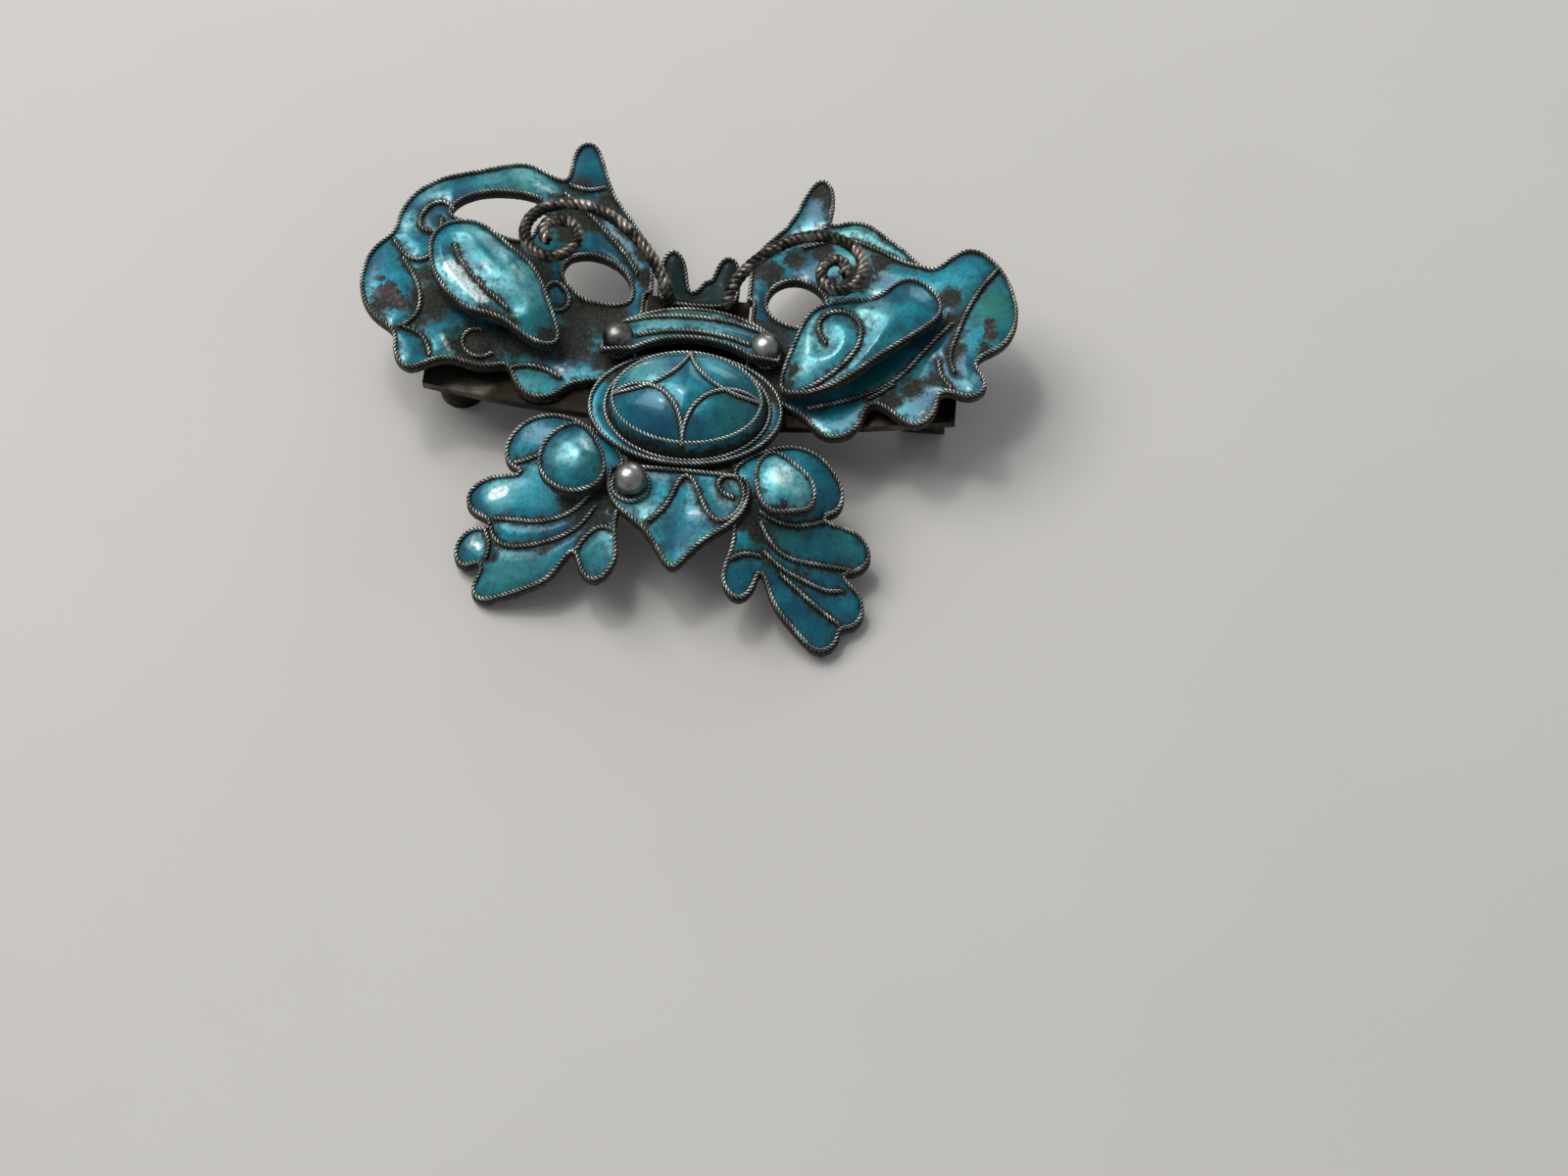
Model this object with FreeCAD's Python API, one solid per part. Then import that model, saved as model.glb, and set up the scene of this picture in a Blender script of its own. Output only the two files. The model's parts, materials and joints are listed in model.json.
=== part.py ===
"""Butterfly hair pin: enamelled silver sheets and twisted wires on a riveted back bar.

Units are millimetres. +X is the wearer's right, +Y points to the butterfly's head and
+Z points away from the hair. The origin is on the face that lies on the hair, under
the middle of the ornament.

Every sheet is an outline cut from a strip that is bent along one direction, and every
border wire follows the same outline on the same bend.
"""

import FreeCAD
import Part

import math
import os

from FreeCAD import Vector

# Stock sizes
SHEET = 0.4            # thickness of the wing, tail and crest sheets
BAR_SHEET = 0.5        # thickness of the back bar
WIRE = 0.45            # height and width of the border wires
DOME_SHEET = 0.4       # thickness of the domed leaves
SEAT_GAP = 0.06        # room between a domed leaf and the wires that it stands over
SIDE_GAP = 0.12        # room between pieces that lie side by side
SNUG_GAP = 0.03        # round a plate that is dropped into a cut-out

# Hinged tongue that grips the hair
TONGUE_DIAMETER = 1.0
TONGUE_LENGTH = 25.6   # hinge axis to tip
TONGUE_POINT = 5.0     # length of the taper at the tip
TONGUE_TIP_DIAMETER = 0.4
EYE_DIAMETER = 2.6
HAIR_GAP = 1.6         # between the tongue and the bar
HINGE_SHANK = 1.2      # diameter of the hinge rivet
HINGE_SET_BACK = 1.55  # from the bar's end to the hinge rivet's axis
HINGE_FIT = 0.01       # radial, between the rivet and the bar and spacer that it holds
HINGE_CLEARANCE = 0.05  # radial, between rivet and eye
HINGE_END_PLAY = 0.05
HINGE_HEAD = 2.4
HINGE_HEAD_HEIGHT = 0.7
HINGE_CAP_HEIGHT = 0.5
CATCH_WIDTH = 2.2
CATCH_SHEET = 0.4
CATCH_CLEARANCE = 0.3  # around the tongue
CATCH_SET_BACK = 1.6   # from the bar's end to the catch's middle

# Back bar and spine
BAR_LENGTH = 27.8
BAR_WAIST = 6.2        # width at the middle
BAR_END = 3.6          # width at the ends
BAR_Y = 1.6            # centre line
PIN_Y = 2.0            # line of the tongue, hinge and catch
SPINE_WIDTH = 5.4
SPINE_BACK = 6.0       # Y of the spine's ends
SPINE_FRONT = -6.6

# Body
BODY_Y = -1.15
BASE_LENGTH = 10.1     # across the butterfly
BASE_WIDTH = 6.9
DOME_X = 0.1           # the dome sits a little off the middle
DOME_LENGTH = 8.3
DOME_WIDTH = 6.1
DOME_HEIGHT = 2.3
STAR_REACH = 0.93      # share of the dome that the star's tips reach to
STAR_WAIST = 1.1       # how far the star's hollows stay from its middle
COLLAR_LENGTH = 13.0   # of the oval that the collar is a part of
COLLAR_WIDTH = 12.0
COLLAR_Y = -1.1        # the oval's middle
COLLAR_RISE = 1.4      # height of the collar's crown over its rim
COLLAR_FRONT = 1.5     # Y where the collar's horns end
COLLAR_HALF = 4.7      # X where they end
COLLAR_HEM = 0.15      # from the collar's edge to its border wire
WIRE_GAP = 0.04        # beside wires that are laid against a raised piece

# Bead-headed rivets
BEAD = 1.7
BEAD_SHANK = 0.8
RIVET_CLEARANCE = 0.05
RIVET_TAIL = 1.3
RIVET_TAIL_HEIGHT = 0.35
BEAD_LIFT = 0.42       # share of the bead's diameter from its seat to its middle
BEAD_SINK = 0.3        # share of the diameter that the shank reaches into the bead
COLLAR_BEAD_X = 3.85
COLLAR_BEAD_Y = 2.45
TAIL_BEAD_X = -2.3
TAIL_BEAD_Y = -6.0

# Wings
UPPER_ROOT_X = 3.0     # where an upper wing's bend starts, from the middle
UPPER_ROOT_Y = 2.0
UPPER_SPREAD = 14.0    # degrees that the bend points backwards
UPPER_SPAN = 14.8      # root to wing tip, across
UPPER_DEPTH = 16.3     # front to back
UPPER_SEAT = 3.1       # flat length that lies on the bar
UPPER_RISE = 14.0      # degrees
UPPER_CURVE = 2.0      # length over which the wing turns up
UPPER_RUN = 4.4        # straight length beyond it
UPPER_TIP_CURVE = 5.2  # length over which its tip turns down again
UPPER_TIP_TURN = -1.4  # share of the rise that the tip turns back by
LEAF_RADIUS = 16.0     # of the domed leaf's sphere
LEAF_LEAN = 2.3        # from the leaf's middle to the sphere's top, outwards
LOWER_ROOT_X = 2.5
LOWER_ROOT_Y = -4.6
LOWER_SPREAD = 40.0    # degrees that the bend points forwards
LOWER_SPAN = 9.0
LOWER_DEPTH = 9.65
LOWER_SEAT = 1.9
LOWER_DROOP = 27.0     # degrees
LOWER_CURVE = 1.6      # length over which it turns down
LOBE_RADIUS = 3.6      # of the small domed lobe's sphere
LOBE_LEAN = -0.6
TAIL_DROOP = 16.0      # degrees
TAIL_CURVE = 1.4
CREST_RISE = 18.0      # degrees
CREST_CURVE = 1.0
CREST_Y = 5.6          # where the crest's bend starts
PLAIN_START = 0.2      # flat length before the tail's and the crest's bend

# Antennae
ANTENNA_WIRE = 0.7
POST = 1.1             # diameter of the posts that carry the wings over the bar
POST_X = 9.4           # of the posts on the bar
POST_Y = 2.0
LEAF_POST_X = 9.6      # of the posts under the leaves
LEAF_POST_Y = 3.9
POST_REACH = 6.0       # height that covers the tallest post

# Heights
TONGUE_Z = HINGE_HEAD_HEIGHT + HINGE_END_PLAY + TONGUE_DIAMETER / 2
BAR_Z = TONGUE_Z + TONGUE_DIAMETER / 2 + HAIR_GAP
SEAT_Z = BAR_Z + BAR_SHEET             # top of the bar: spine and wings lie on it
DECK_Z = SEAT_Z + SHEET                # top of the spine and of the wings' roots
BASE_Z = DECK_Z + SHEET                # top of the body's base plate
HINGE_X = -(BAR_LENGTH / 2 - HINGE_SET_BACK)

LOW, HIGH = -3.0, 16.0                 # height range that every cutting prism covers
FAR = 40.0
SMALLEST_PIECE = 0.002                 # cubic millimetres: smaller slivers are left out
UP = Vector(0, 0, 1)


class Bend:
    """A strip bent along one direction: straight and round stretches of (length, turn)."""

    def __init__(self, x, y, heading, z_top, stretches):
        self.x, self.y, self.heading, self.z_top = x, y, math.radians(heading), z_top
        self.stretches = [(FAR, 0.0)] + list(stretches) + [(FAR, 0.0)]

    def walk(self):
        """Start point, slope, length, turn and turning centre of each stretch."""
        s, z, slope = -FAR, self.z_top, 0.0
        for length, turn in self.stretches:
            turn = math.radians(turn)
            centre = None
            if turn:
                side = math.copysign(1, turn)
                radius = length / abs(turn)
                centre = (s - side * radius * math.sin(slope), z + side * radius * math.cos(slope))
            yield s, z, slope, length, turn, centre
            if turn:
                slope += turn
                s = centre[0] + side * radius * math.sin(slope)
                z = centre[1] - side * radius * math.cos(slope)
            else:
                s, z = s + length * math.cos(slope), z + length * math.sin(slope)

    def height(self, x, y):
        """Height of the strip's upper face over a point in plan."""
        s = (x - self.x) * math.cos(self.heading) + (y - self.y) * math.sin(self.heading)
        for start, z, slope, length, turn, centre in self.walk():
            if not turn:
                end = start + length * math.cos(slope)
                found = z + (s - start) * math.tan(slope)
            else:
                side = math.copysign(1, turn)
                radius = length / abs(turn)
                end = centre[0] + side * radius * math.sin(slope + turn)
                reach = max(-1.0, min(1.0, (s - centre[0]) / (side * radius)))
                found = centre[1] - side * radius * math.cos(math.asin(reach))
            if s <= end:
                return found
        return found

    def point(self, s, z):
        return Vector(self.x + s * math.cos(self.heading), self.y + s * math.sin(self.heading), z)

    def edges(self, lift):
        """The strip's side view at a distance above its upper face."""
        made = []
        for s, z, slope, length, turn, centre in self.walk():
            def at(angle, base=(s, z), middle=centre, first=slope, bent=turn):
                if not bent:
                    ds, dz = base
                else:
                    side = math.copysign(1, bent)
                    radius = math.dist(base, middle)
                    ds = middle[0] + side * radius * math.sin(angle)
                    dz = middle[1] - side * radius * math.cos(angle)
                return self.point(ds - lift * math.sin(angle), dz + lift * math.cos(angle))
            first = at(slope)
            if turn:
                last = at(slope + turn)
                made.append(Part.Arc(first, at(slope + turn / 2), last).toShape())
            else:
                run = Vector(length * math.cos(slope) * math.cos(self.heading),
                             length * math.cos(slope) * math.sin(self.heading),
                             length * math.sin(slope))
                last = first + run
                made.append(Part.LineSegment(first, last).toShape())
        return made, made[0].Vertexes[0].Point, last

    def layer(self, low, high):
        """All the space between two distances above the strip's upper face."""
        lower, a, b = self.edges(low)
        upper, d, c = self.edges(high)
        ends = [Part.LineSegment(b, c).toShape(), Part.LineSegment(d, a).toShape()]
        side = Part.Face(Part.Wire(Part.__sortEdges__(lower + upper + ends)))
        across = Vector(-math.sin(self.heading), math.cos(self.heading), 0)
        side.translate(across * -FAR)
        return side.extrude(across * 2 * FAR)


class Ball:
    """A sphere that domed leaves are raised over."""

    def __init__(self, x, y, radius, z_top):
        self.x, self.y, self.radius, self.z_top = x, y, radius, z_top

    def drop(self, x, y):
        away = min(math.hypot(x - self.x, y - self.y), self.radius)
        return self.radius - math.sqrt(self.radius ** 2 - away ** 2)

    def layer(self, low, high):
        middle = Vector(self.x, self.y, self.z_top - self.radius)
        outer = Part.makeSphere(self.radius + high, middle)
        return outer.cut(Part.makeSphere(self.radius + low, middle)).common(above(middle.z))

    def core(self, low):
        return Part.makeSphere(self.radius + low, Vector(self.x, self.y, self.z_top - self.radius))


def fitted(points, root, side, scale):
    """Outline points in millimetres from a root, put in place on the left or right side."""
    return [(side * (root[0] + u * scale[0]), root[1] + v * scale[1]) for u, v in points]


def closed_curve(points):
    """A smooth closed curve that is drawn towards its points without kinks between them."""
    curve = Part.BSplineCurve()
    curve.buildFromPoles([Vector(x, y, 0) for x, y in points], True, 3)
    return curve


def open_curve(points):
    curve = Part.BSplineCurve()
    curve.buildFromPoles([Vector(x, y, 0) for x, y in points], False, 3)
    return curve


def face_in(curve):
    return Part.Face(Part.Wire(curve.toShape()))


def stepped(curve, count, away):
    """Points along a curve, moved sideways, without those that a tight bend folds over."""
    first, last = curve.FirstParameter, curve.LastParameter
    closed = curve.isPeriodic()
    steps = 4 * count
    places = [first + (last - first) * i / (steps if closed else steps - 1) for i in range(steps)]
    own = [(curve.value(t).x, curve.value(t).y) for t in places]
    chosen = places[::4] if closed else places[:-1:4] + places[-1:]
    moved = []
    for t in chosen:
        spot, along = curve.value(t), curve.tangent(t)[0]
        moved.append((spot.x - along.y * away, spot.y + along.x * away))
    return [p for p in moved if min(math.dist(p, q) for q in own) > 0.999 * abs(away)]


def area_sign(points):
    total = sum(a[0] * b[1] - b[0] * a[1] for a, b in zip(points, points[1:] + points[:1]))
    return math.copysign(1, total)


def rim(points, width, space, outward=False):
    """The band of a width just inside a closed outline, or just outside it."""
    curve = closed_curve(points)
    inward = area_sign(points) * (-width if outward else width)
    own = prism(face_in(curve))
    moved = prism(face_in(closed_curve(stepped(curve, 3 * len(points), inward))))
    large, small = (moved, own) if outward else (own, moved)
    return large.common(space).cut(small)


def band(points, width):
    """A strip of a width along an open path."""
    curve = open_curve(points)
    count = 3 * len(points)
    left, right = stepped(curve, count, width / 2), stepped(curve, count, -width / 2)
    one, two = open_curve(left), open_curve(right)
    caps = [((left[0]), (right[0])), ((left[-1]), (right[-1]))]
    edges = [one.toShape(), two.toShape()]
    edges += [Part.LineSegment(Vector(*a, 0), Vector(*b, 0)).toShape() for a, b in caps]
    return Part.Face(Part.Wire(Part.__sortEdges__(edges)))


def prism(face):
    moved = face.copy()
    moved.translate(Vector(0, 0, LOW))
    return moved.extrude(Vector(0, 0, HIGH - LOW))


def cut_from(face, space):
    return prism(face).common(space)


def ellipse(x, y, length, width, grow=0.0):
    """An ellipse whose length is across the butterfly."""
    a, b = length / 2 + grow, width / 2 + grow
    middle = Vector(x, y, 0)
    if a >= b:
        curve = Part.Ellipse(Vector(x + a, y, 0), Vector(x, y + b, 0), middle)
    else:
        curve = Part.Ellipse(Vector(x, y + b, 0), Vector(x - a, y, 0), middle)
    return Part.Face(Part.Wire(curve.toShape()))


def egg(x, y, z, length, width, height, grow=0.0):
    """An ellipsoid on its middle."""
    ball = Part.makeSphere(1.0)
    stretch = FreeCAD.Matrix()
    stretch.scale(length / 2 + grow, width / 2 + grow, height + grow)
    ball = ball.transformGeometry(stretch)
    ball.translate(Vector(x, y, z))
    return ball


def above(z):
    return Part.makeBox(2 * FAR, 2 * FAR, FAR, Vector(-FAR, -FAR, z))


def rod(x, y, z, diameter, height):
    return Part.makeCylinder(diameter / 2, height, Vector(x, y, z), UP)


def tube(points, diameter):
    """A round wire along straight runs that are joined by tangent arcs."""
    spots = [Vector(*p) for p in points]
    edges, start = [], spots[0]
    for before, corner, after in zip(spots, spots[1:], spots[2:]):
        back, on = (before - corner), (after - corner)
        reach = 0.45 * min(back.Length, on.Length)
        back.normalize()
        on.normalize()
        first, last = corner + back * reach, corner + on * reach
        half_turn = (math.pi - back.getAngle(on)) / 2
        radius = reach / math.tan(half_turn)
        inward = (back + on)
        inward.normalize()
        middle = corner + inward * (radius / math.cos(half_turn) - radius)
        edges += [Part.LineSegment(start, first).toShape(), Part.Arc(first, middle, last).toShape()]
        start = last
    edges.append(Part.LineSegment(start, spots[-1]).toShape())
    path = Part.Wire(edges)
    ring = Part.Wire(Part.Circle(spots[0], spots[1] - spots[0], diameter / 2).toShape())
    return path.makePipeShell([ring], True, True)


# ------------------------------------------------------------------ outlines
# Upper wings: millimetres outwards and backwards from the wing's root.
UPPER_OUTLINE = {
    "left": [(-0.4, -1.3), (-0.5, 1.2), (-0.5, 3.6), (-0.5, 5.6), (0.1, 7.1), (1.1, 8.5), (2.1, 9.6),
             (2.7, 10.9), (3.1, 12.2), (3.8, 12.7), (4.6, 12.1), (4.7, 10.8), (4.7, 9.8), (5.8, 10.2),
             (6.9, 10.6), (8.0, 10.2), (9.6, 9.5), (11.3, 9.0), (12.6, 8.1), (13.4, 6.7), (13.3, 5.3),
             (14.3, 4.7), (14.9, 3.1), (14.6, 1.2), (13.5, -0.1), (12.4, -0.5), (12.5, -1.4),
             (12.1, -2.4), (11.2, -2.7), (10.4, -1.9), (9.3, -1.5), (8.2, -1.8), (7.2, -1.6),
             (6.5, -1.2), (6.2, -2.0), (5.6, -2.8), (4.6, -2.9), (3.7, -2.6), (3.2, -1.8), (1.8, -1.6)],
    "right": [(-0.4, -1.3), (-0.5, 1.2), (-0.5, 3.2), (-0.5, 5.0), (-0.5, 6.3), (0.1, 7.4), (1.0, 8.3),
              (1.6, 9.3), (2.0, 10.6), (2.7, 11.6), (3.5, 11.2), (3.8, 9.9), (3.4, 8.4), (4.4, 8.8),
              (5.6, 8.7), (6.7, 7.6), (7.8, 6.8), (8.8, 5.6), (9.6, 5.7), (10.5, 6.8), (11.6, 6.9),
              (12.8, 6.0), (13.7, 4.4), (14.0, 2.7), (13.4, 1.1), (12.2, 0.5), (11.7, 0.0), (12.5, -0.7),
              (12.5, -1.6), (11.6, -2.1), (10.7, -1.6), (10.0, -1.5), (10.1, -2.5), (9.5, -3.3),
              (8.6, -3.5), (7.5, -2.4), (6.5, -1.8), (6.3, -2.7), (5.9, -3.6), (4.9, -4.0), (3.9, -3.8),
              (3.2, -2.8), (1.9, -2.2)],
}
UPPER_WINDOWS = {
    "left": [[(10.7, 6.8), (10.1, 7.7), (8.9, 8.3), (7.3, 8.6), (5.8, 8.6), (5.5, 7.8), (6.2, 6.7),
              (6.3, 5.9), (7.6, 5.9), (8.9, 6.4), (10.1, 6.5)],
             [(4.5, 4.7), (4.0, 5.6), (3.0, 5.9), (2.0, 5.7), (1.1, 5.1), (0.6, 4.2), (0.6, 3.3),
              (1.2, 3.1), (2.2, 3.1), (3.1, 3.3), (3.9, 3.9)]],
    "right": [[(0.6, 3.4), (0.6, 4.3), (1.1, 5.0), (2.0, 5.3), (3.0, 5.0), (3.9, 4.0), (3.3, 3.0),
               (2.4, 2.4), (1.4, 2.7)]],
}
LEAF_OUTLINE = {
    "left": [(11.3, 4.6), (10.8, 5.5), (9.9, 5.9), (8.8, 5.9), (7.8, 5.3), (6.8, 4.4), (5.7, 3.8),
             (5.0, 2.8), (4.4, 1.4), (3.6, -0.1), (4.4, -0.7), (5.6, -0.5), (6.7, 0.2), (7.7, 0.4),
             (8.8, 0.4), (9.9, 1.2), (10.8, 2.3), (11.2, 3.5)],
    "right": [(1.7, -2.1), (1.7, -1.3), (2.0, -0.2), (2.4, 1.0), (2.8, 2.2), (3.6, 2.7), (4.9, 2.9),
              (6.2, 2.9), (6.9, 3.5), (7.6, 4.4), (8.7, 4.4), (9.7, 3.5), (10.1, 2.3), (9.1, 1.3),
              (8.0, 0.4), (6.9, -0.4), (5.7, -1.4), (4.4, -2.1), (3.0, -2.4)],
}
LEAF_SCROLL = {
    "left": [(9.9, 4.5), (9.6, 3.6), (9.0, 2.8), (8.3, 2.2), (7.6, 1.5)],
    "right": [(4.1, 0.3), (3.7, 0.9), (3.8, 1.6), (4.5, 1.9), (5.2, 1.6), (5.5, 0.8), (5.3, 0.0),
              (4.8, -0.8), (4.1, -1.4)],
}
# Lower wings: millimetres outwards and backwards from the wing's root.
LOWER_OUTLINE = {
    "left": [(0.0, -0.2), (0.6, 0.9), (2.2, 2.0), (3.8, 2.6), (5.2, 2.4), (6.4, 1.7), (6.8, 0.8),
             (6.3, -0.1), (5.4, -0.3), (6.3, -0.3), (7.3, -0.2), (8.3, -0.6), (8.6, -1.3), (8.0, -2.0),
             (7.1, -2.3), (7.1, -2.7), (7.9, -2.4), (8.7, -2.9), (9.0, -3.7), (8.3, -4.5), (7.3, -4.1),
             (7.4, -4.7), (7.9, -5.4), (7.2, -6.1), (6.0, -5.9), (4.7, -5.7), (3.5, -5.4), (2.8, -4.4),
             (2.4, -4.1), (2.2, -4.9), (1.6, -5.7), (0.7, -5.7), (0.1, -4.9), (0.1, -4.2), (0.4, -3.2),
             (0.2, -2.0)],
    "right": [(0.0, -0.2), (0.6, 0.8), (2.0, 1.5), (3.2, 1.8), (4.5, 1.5), (5.6, 0.7), (6.2, -0.2),
              (5.8, -1.2), (4.9, -1.4), (5.5, -1.6), (6.7, -1.5), (7.6, -2.1), (7.7, -2.9), (6.9, -3.6),
              (6.2, -3.7), (6.7, -4.0), (7.4, -4.4), (7.6, -5.2), (7.1, -6.0), (6.3, -6.1), (6.4, -6.6),
              (5.9, -7.3), (5.0, -7.5), (4.0, -6.7), (3.0, -6.1), (2.4, -5.0), (2.1, -4.4), (2.0, -5.2),
              (1.5, -6.0), (0.7, -6.1), (0.1, -5.3), (0.3, -4.5), (0.7, -3.4), (0.4, -2.0)],
}
LOWER_RIBS = {
    "left": [[(5.6, 0.1), (4.8, 0.4), (3.9, 0.6)],
             [(6.6, -2.2), (5.2, -2.5), (3.8, -2.6), (2.7, -2.4), (1.9, -1.7)],
             [(6.2, -3.6), (5.1, -3.7), (3.8, -3.6), (2.6, -3.3), (1.6, -2.5)]],
    "right": [[(5.1, -1.9), (4.0, -2.1), (2.9, -2.2), (1.8, -1.9)],
              [(6.0, -3.5), (4.9, -3.5), (3.7, -3.5), (2.7, -3.1), (1.9, -2.3)],
              [(6.0, -4.8), (4.9, -4.7), (3.8, -4.5), (2.9, -4.1), (2.0, -3.3)]],
}
LOBE_OUTLINE = {
    "left": [(4.8, -0.3), (4.3, 0.8), (3.4, 1.4), (2.5, 1.5), (1.6, 0.5), (1.0, -0.6), (1.1, -1.6),
             (2.2, -2.2), (3.5, -2.1), (4.5, -1.3)],
    "right": [(1.3, -0.3), (1.8, 0.7), (2.6, 0.9), (3.5, 0.1), (4.4, -0.3), (4.8, -1.1), (4.5, -2.0),
              (3.6, -2.2), (2.4, -2.5), (1.6, -1.7)],
}
# Tail, crest and scrolls, in place.
TAIL_OUTLINE = [(-3.6, -4.9), (-3.6, -6.2), (-3.1, -7.3), (-2.0, -8.0), (-1.1, -8.7), (-0.5, -9.7),
                (0.2, -10.5), (0.9, -9.7), (1.6, -8.8), (2.6, -8.2), (3.5, -7.4), (3.9, -6.3),
                (3.8, -5.2), (3.2, -4.9), (0.0, -4.8), (-2.9, -4.8)]
TAIL_SCROLL = [(3.0, -6.5), (2.3, -6.4), (2.1, -5.8), (2.6, -5.4), (3.2, -5.6), (3.4, -6.4), (3.1, -7.2),
               (2.4, -7.6), (1.7, -7.2), (1.2, -6.3), (0.9, -5.6), (0.4, -5.3), (0.1, -5.7), (-0.1, -6.5),
               (-0.5, -7.3), (-1.1, -7.8)]
CREST_OUTLINE = [(-2.2, 5.3), (-2.3, 6.8), (-2.1, 8.0), (-1.5, 8.4), (-0.8, 7.8), (-0.6, 6.5), (-0.4, 5.9),
                 (0.0, 6.4), (0.3, 6.9), (0.6, 6.7), (0.7, 7.4), (1.1, 8.1), (1.7, 8.1), (2.1, 7.6),
                 (2.1, 6.5), (2.1, 5.3), (1.0, 5.1), (-1.0, 5.1)]
COLLAR_RIDGE = [(-3.3, 3.5), (-1.7, 3.55), (0.0, 3.5), (1.7, 3.45), (3.3, 3.3)]
ANTENNA_PATH = {
    "left": [(-1.5, 5.3, BASE_Z), (-1.55, 5.35, 5.7), (-2.1, 6.2, 6.5), (-2.9, 7.2, 7.0),
             (-4.1, 8.2, 7.4), (-5.5, 8.9, 7.7), (-6.9, 9.2, 7.7), (-8.4, 8.8, 7.7), (-9.3, 7.7, 7.7),
             (-9.1, 6.3, 7.7), (-8.0, 5.5, 7.7), (-6.8, 5.8, 7.7), (-6.2, 6.9, 7.7), (-6.7, 7.9, 7.7),
             (-7.8, 8.1, 7.7), (-8.4, 7.3, 7.7), (-7.9, 6.6, 7.7)],
    "right": [(1.5, 5.3, BASE_Z), (1.55, 5.35, 5.7), (2.2, 6.3, 6.5), (3.3, 7.2, 7.0),
              (4.5, 7.9, 7.4), (5.9, 8.2, 7.7), (7.3, 8.1, 7.7), (8.4, 7.3, 7.7), (8.7, 6.1, 7.7),
              (8.2, 5.0, 7.7), (7.2, 4.7, 7.7), (6.4, 5.3, 7.7), (6.4, 6.3, 7.7), (7.1, 6.9, 7.7),
              (7.8, 6.4, 7.7), (7.6, 5.8, 7.7)],
}
SIDES = {"left": -1, "right": 1}


def upper_scale():
    reach = max(u for u, v in UPPER_OUTLINE["left"])
    back = max(v for u, v in UPPER_OUTLINE["left"]) - min(v for u, v in UPPER_OUTLINE["left"])
    return UPPER_SPAN / reach, UPPER_DEPTH / back


def lower_scale():
    reach = max(u for u, v in LOWER_OUTLINE["left"])
    back = max(v for u, v in LOWER_OUTLINE["left"]) - min(v for u, v in LOWER_OUTLINE["left"])
    return LOWER_SPAN / reach, LOWER_DEPTH / back


def upper_bend(side):
    heading = UPPER_SPREAD if side > 0 else 180 - UPPER_SPREAD
    run = [(UPPER_SEAT, 0), (UPPER_CURVE, UPPER_RISE), (UPPER_RUN, 0),
           (UPPER_TIP_CURVE, UPPER_TIP_TURN * UPPER_RISE)]
    return Bend(side * UPPER_ROOT_X, UPPER_ROOT_Y, heading, DECK_Z, run)


def lower_bend(side):
    heading = -LOWER_SPREAD if side > 0 else 180 + LOWER_SPREAD
    run = [(LOWER_SEAT, 0), (LOWER_CURVE, -LOWER_DROOP)]
    return Bend(side * LOWER_ROOT_X, LOWER_ROOT_Y, heading, DECK_Z, run)


def leaf_ball(outline, bend, radius, lean):
    """The sphere that keeps a leaf's rim clear of the wires under it."""
    x = sum(p[0] for p in outline) / len(outline) + lean * math.cos(bend.heading)
    y = sum(p[1] for p in outline) / len(outline) + lean * math.sin(bend.heading)
    flat = Ball(x, y, radius, 0.0)
    floor = WIRE + SEAT_GAP + DOME_SHEET
    top = max(bend.height(*p) + flat.drop(*p) for p in outline) + floor
    return Ball(x, y, radius, top)


# ------------------------------------------------------------------ pieces
def upper_wing(name, side, parts):
    """Pierced wing sheet, its border wires, its domed leaf and the leaf's wires."""
    root, scale, bend = (UPPER_ROOT_X, UPPER_ROOT_Y), upper_scale(), upper_bend(side)
    outline = fitted(UPPER_OUTLINE[name], root, side, scale)
    windows = [fitted(w, root, side, scale) for w in UPPER_WINDOWS[name]]
    sheet = face_in(closed_curve(outline))
    for window in windows:
        sheet = sheet.cut(face_in(closed_curve(window)))
    hole = bead_holes(BEAD_SHANK + 2 * RIVET_CLEARANCE)
    parts["upper_wing_" + name] = cut_from(sheet, bend.layer(-SHEET, 0)).cut(hole).cut(spine_room())
    over = bend.layer(0, WIRE)
    body = prism(collar_footprint(SIDE_GAP)).fuse(prism(base_oval(SIDE_GAP)))
    wires = rim(outline, WIRE, over)
    for window in windows:
        wires = wires.fuse(rim(window, WIRE, over, outward=True))
    parts["upper_wing_wires_" + name] = wires.cut(body).cut(spine_room())
    leaf = fitted(LEAF_OUTLINE[name], root, side, scale)
    ball = leaf_ball(leaf, bend, LEAF_RADIUS, LEAF_LEAN)
    parts["leaf_" + name] = cut_from(face_in(closed_curve(leaf)), ball.layer(-DOME_SHEET, 0))
    scroll = fitted(LEAF_SCROLL[name], root, side, scale)
    lines = rim(leaf, WIRE, ball.layer(0, WIRE))
    lines = lines.fuse(cut_from(band(scroll, WIRE), ball.layer(0, WIRE)))
    parts["leaf_wires_" + name] = lines
    post = rod(side * POST_X, POST_Y, SEAT_Z, POST, HIGH - SEAT_Z)
    parts["wing_post_" + name] = post.common(bend.layer(-POST_REACH, -SHEET))
    prop = rod(side * LEAF_POST_X, LEAF_POST_Y, SEAT_Z, POST, HIGH - SEAT_Z)
    parts["leaf_post_" + name] = prop.common(bend.layer(0, POST_REACH)).common(ball.core(-DOME_SHEET))


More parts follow.
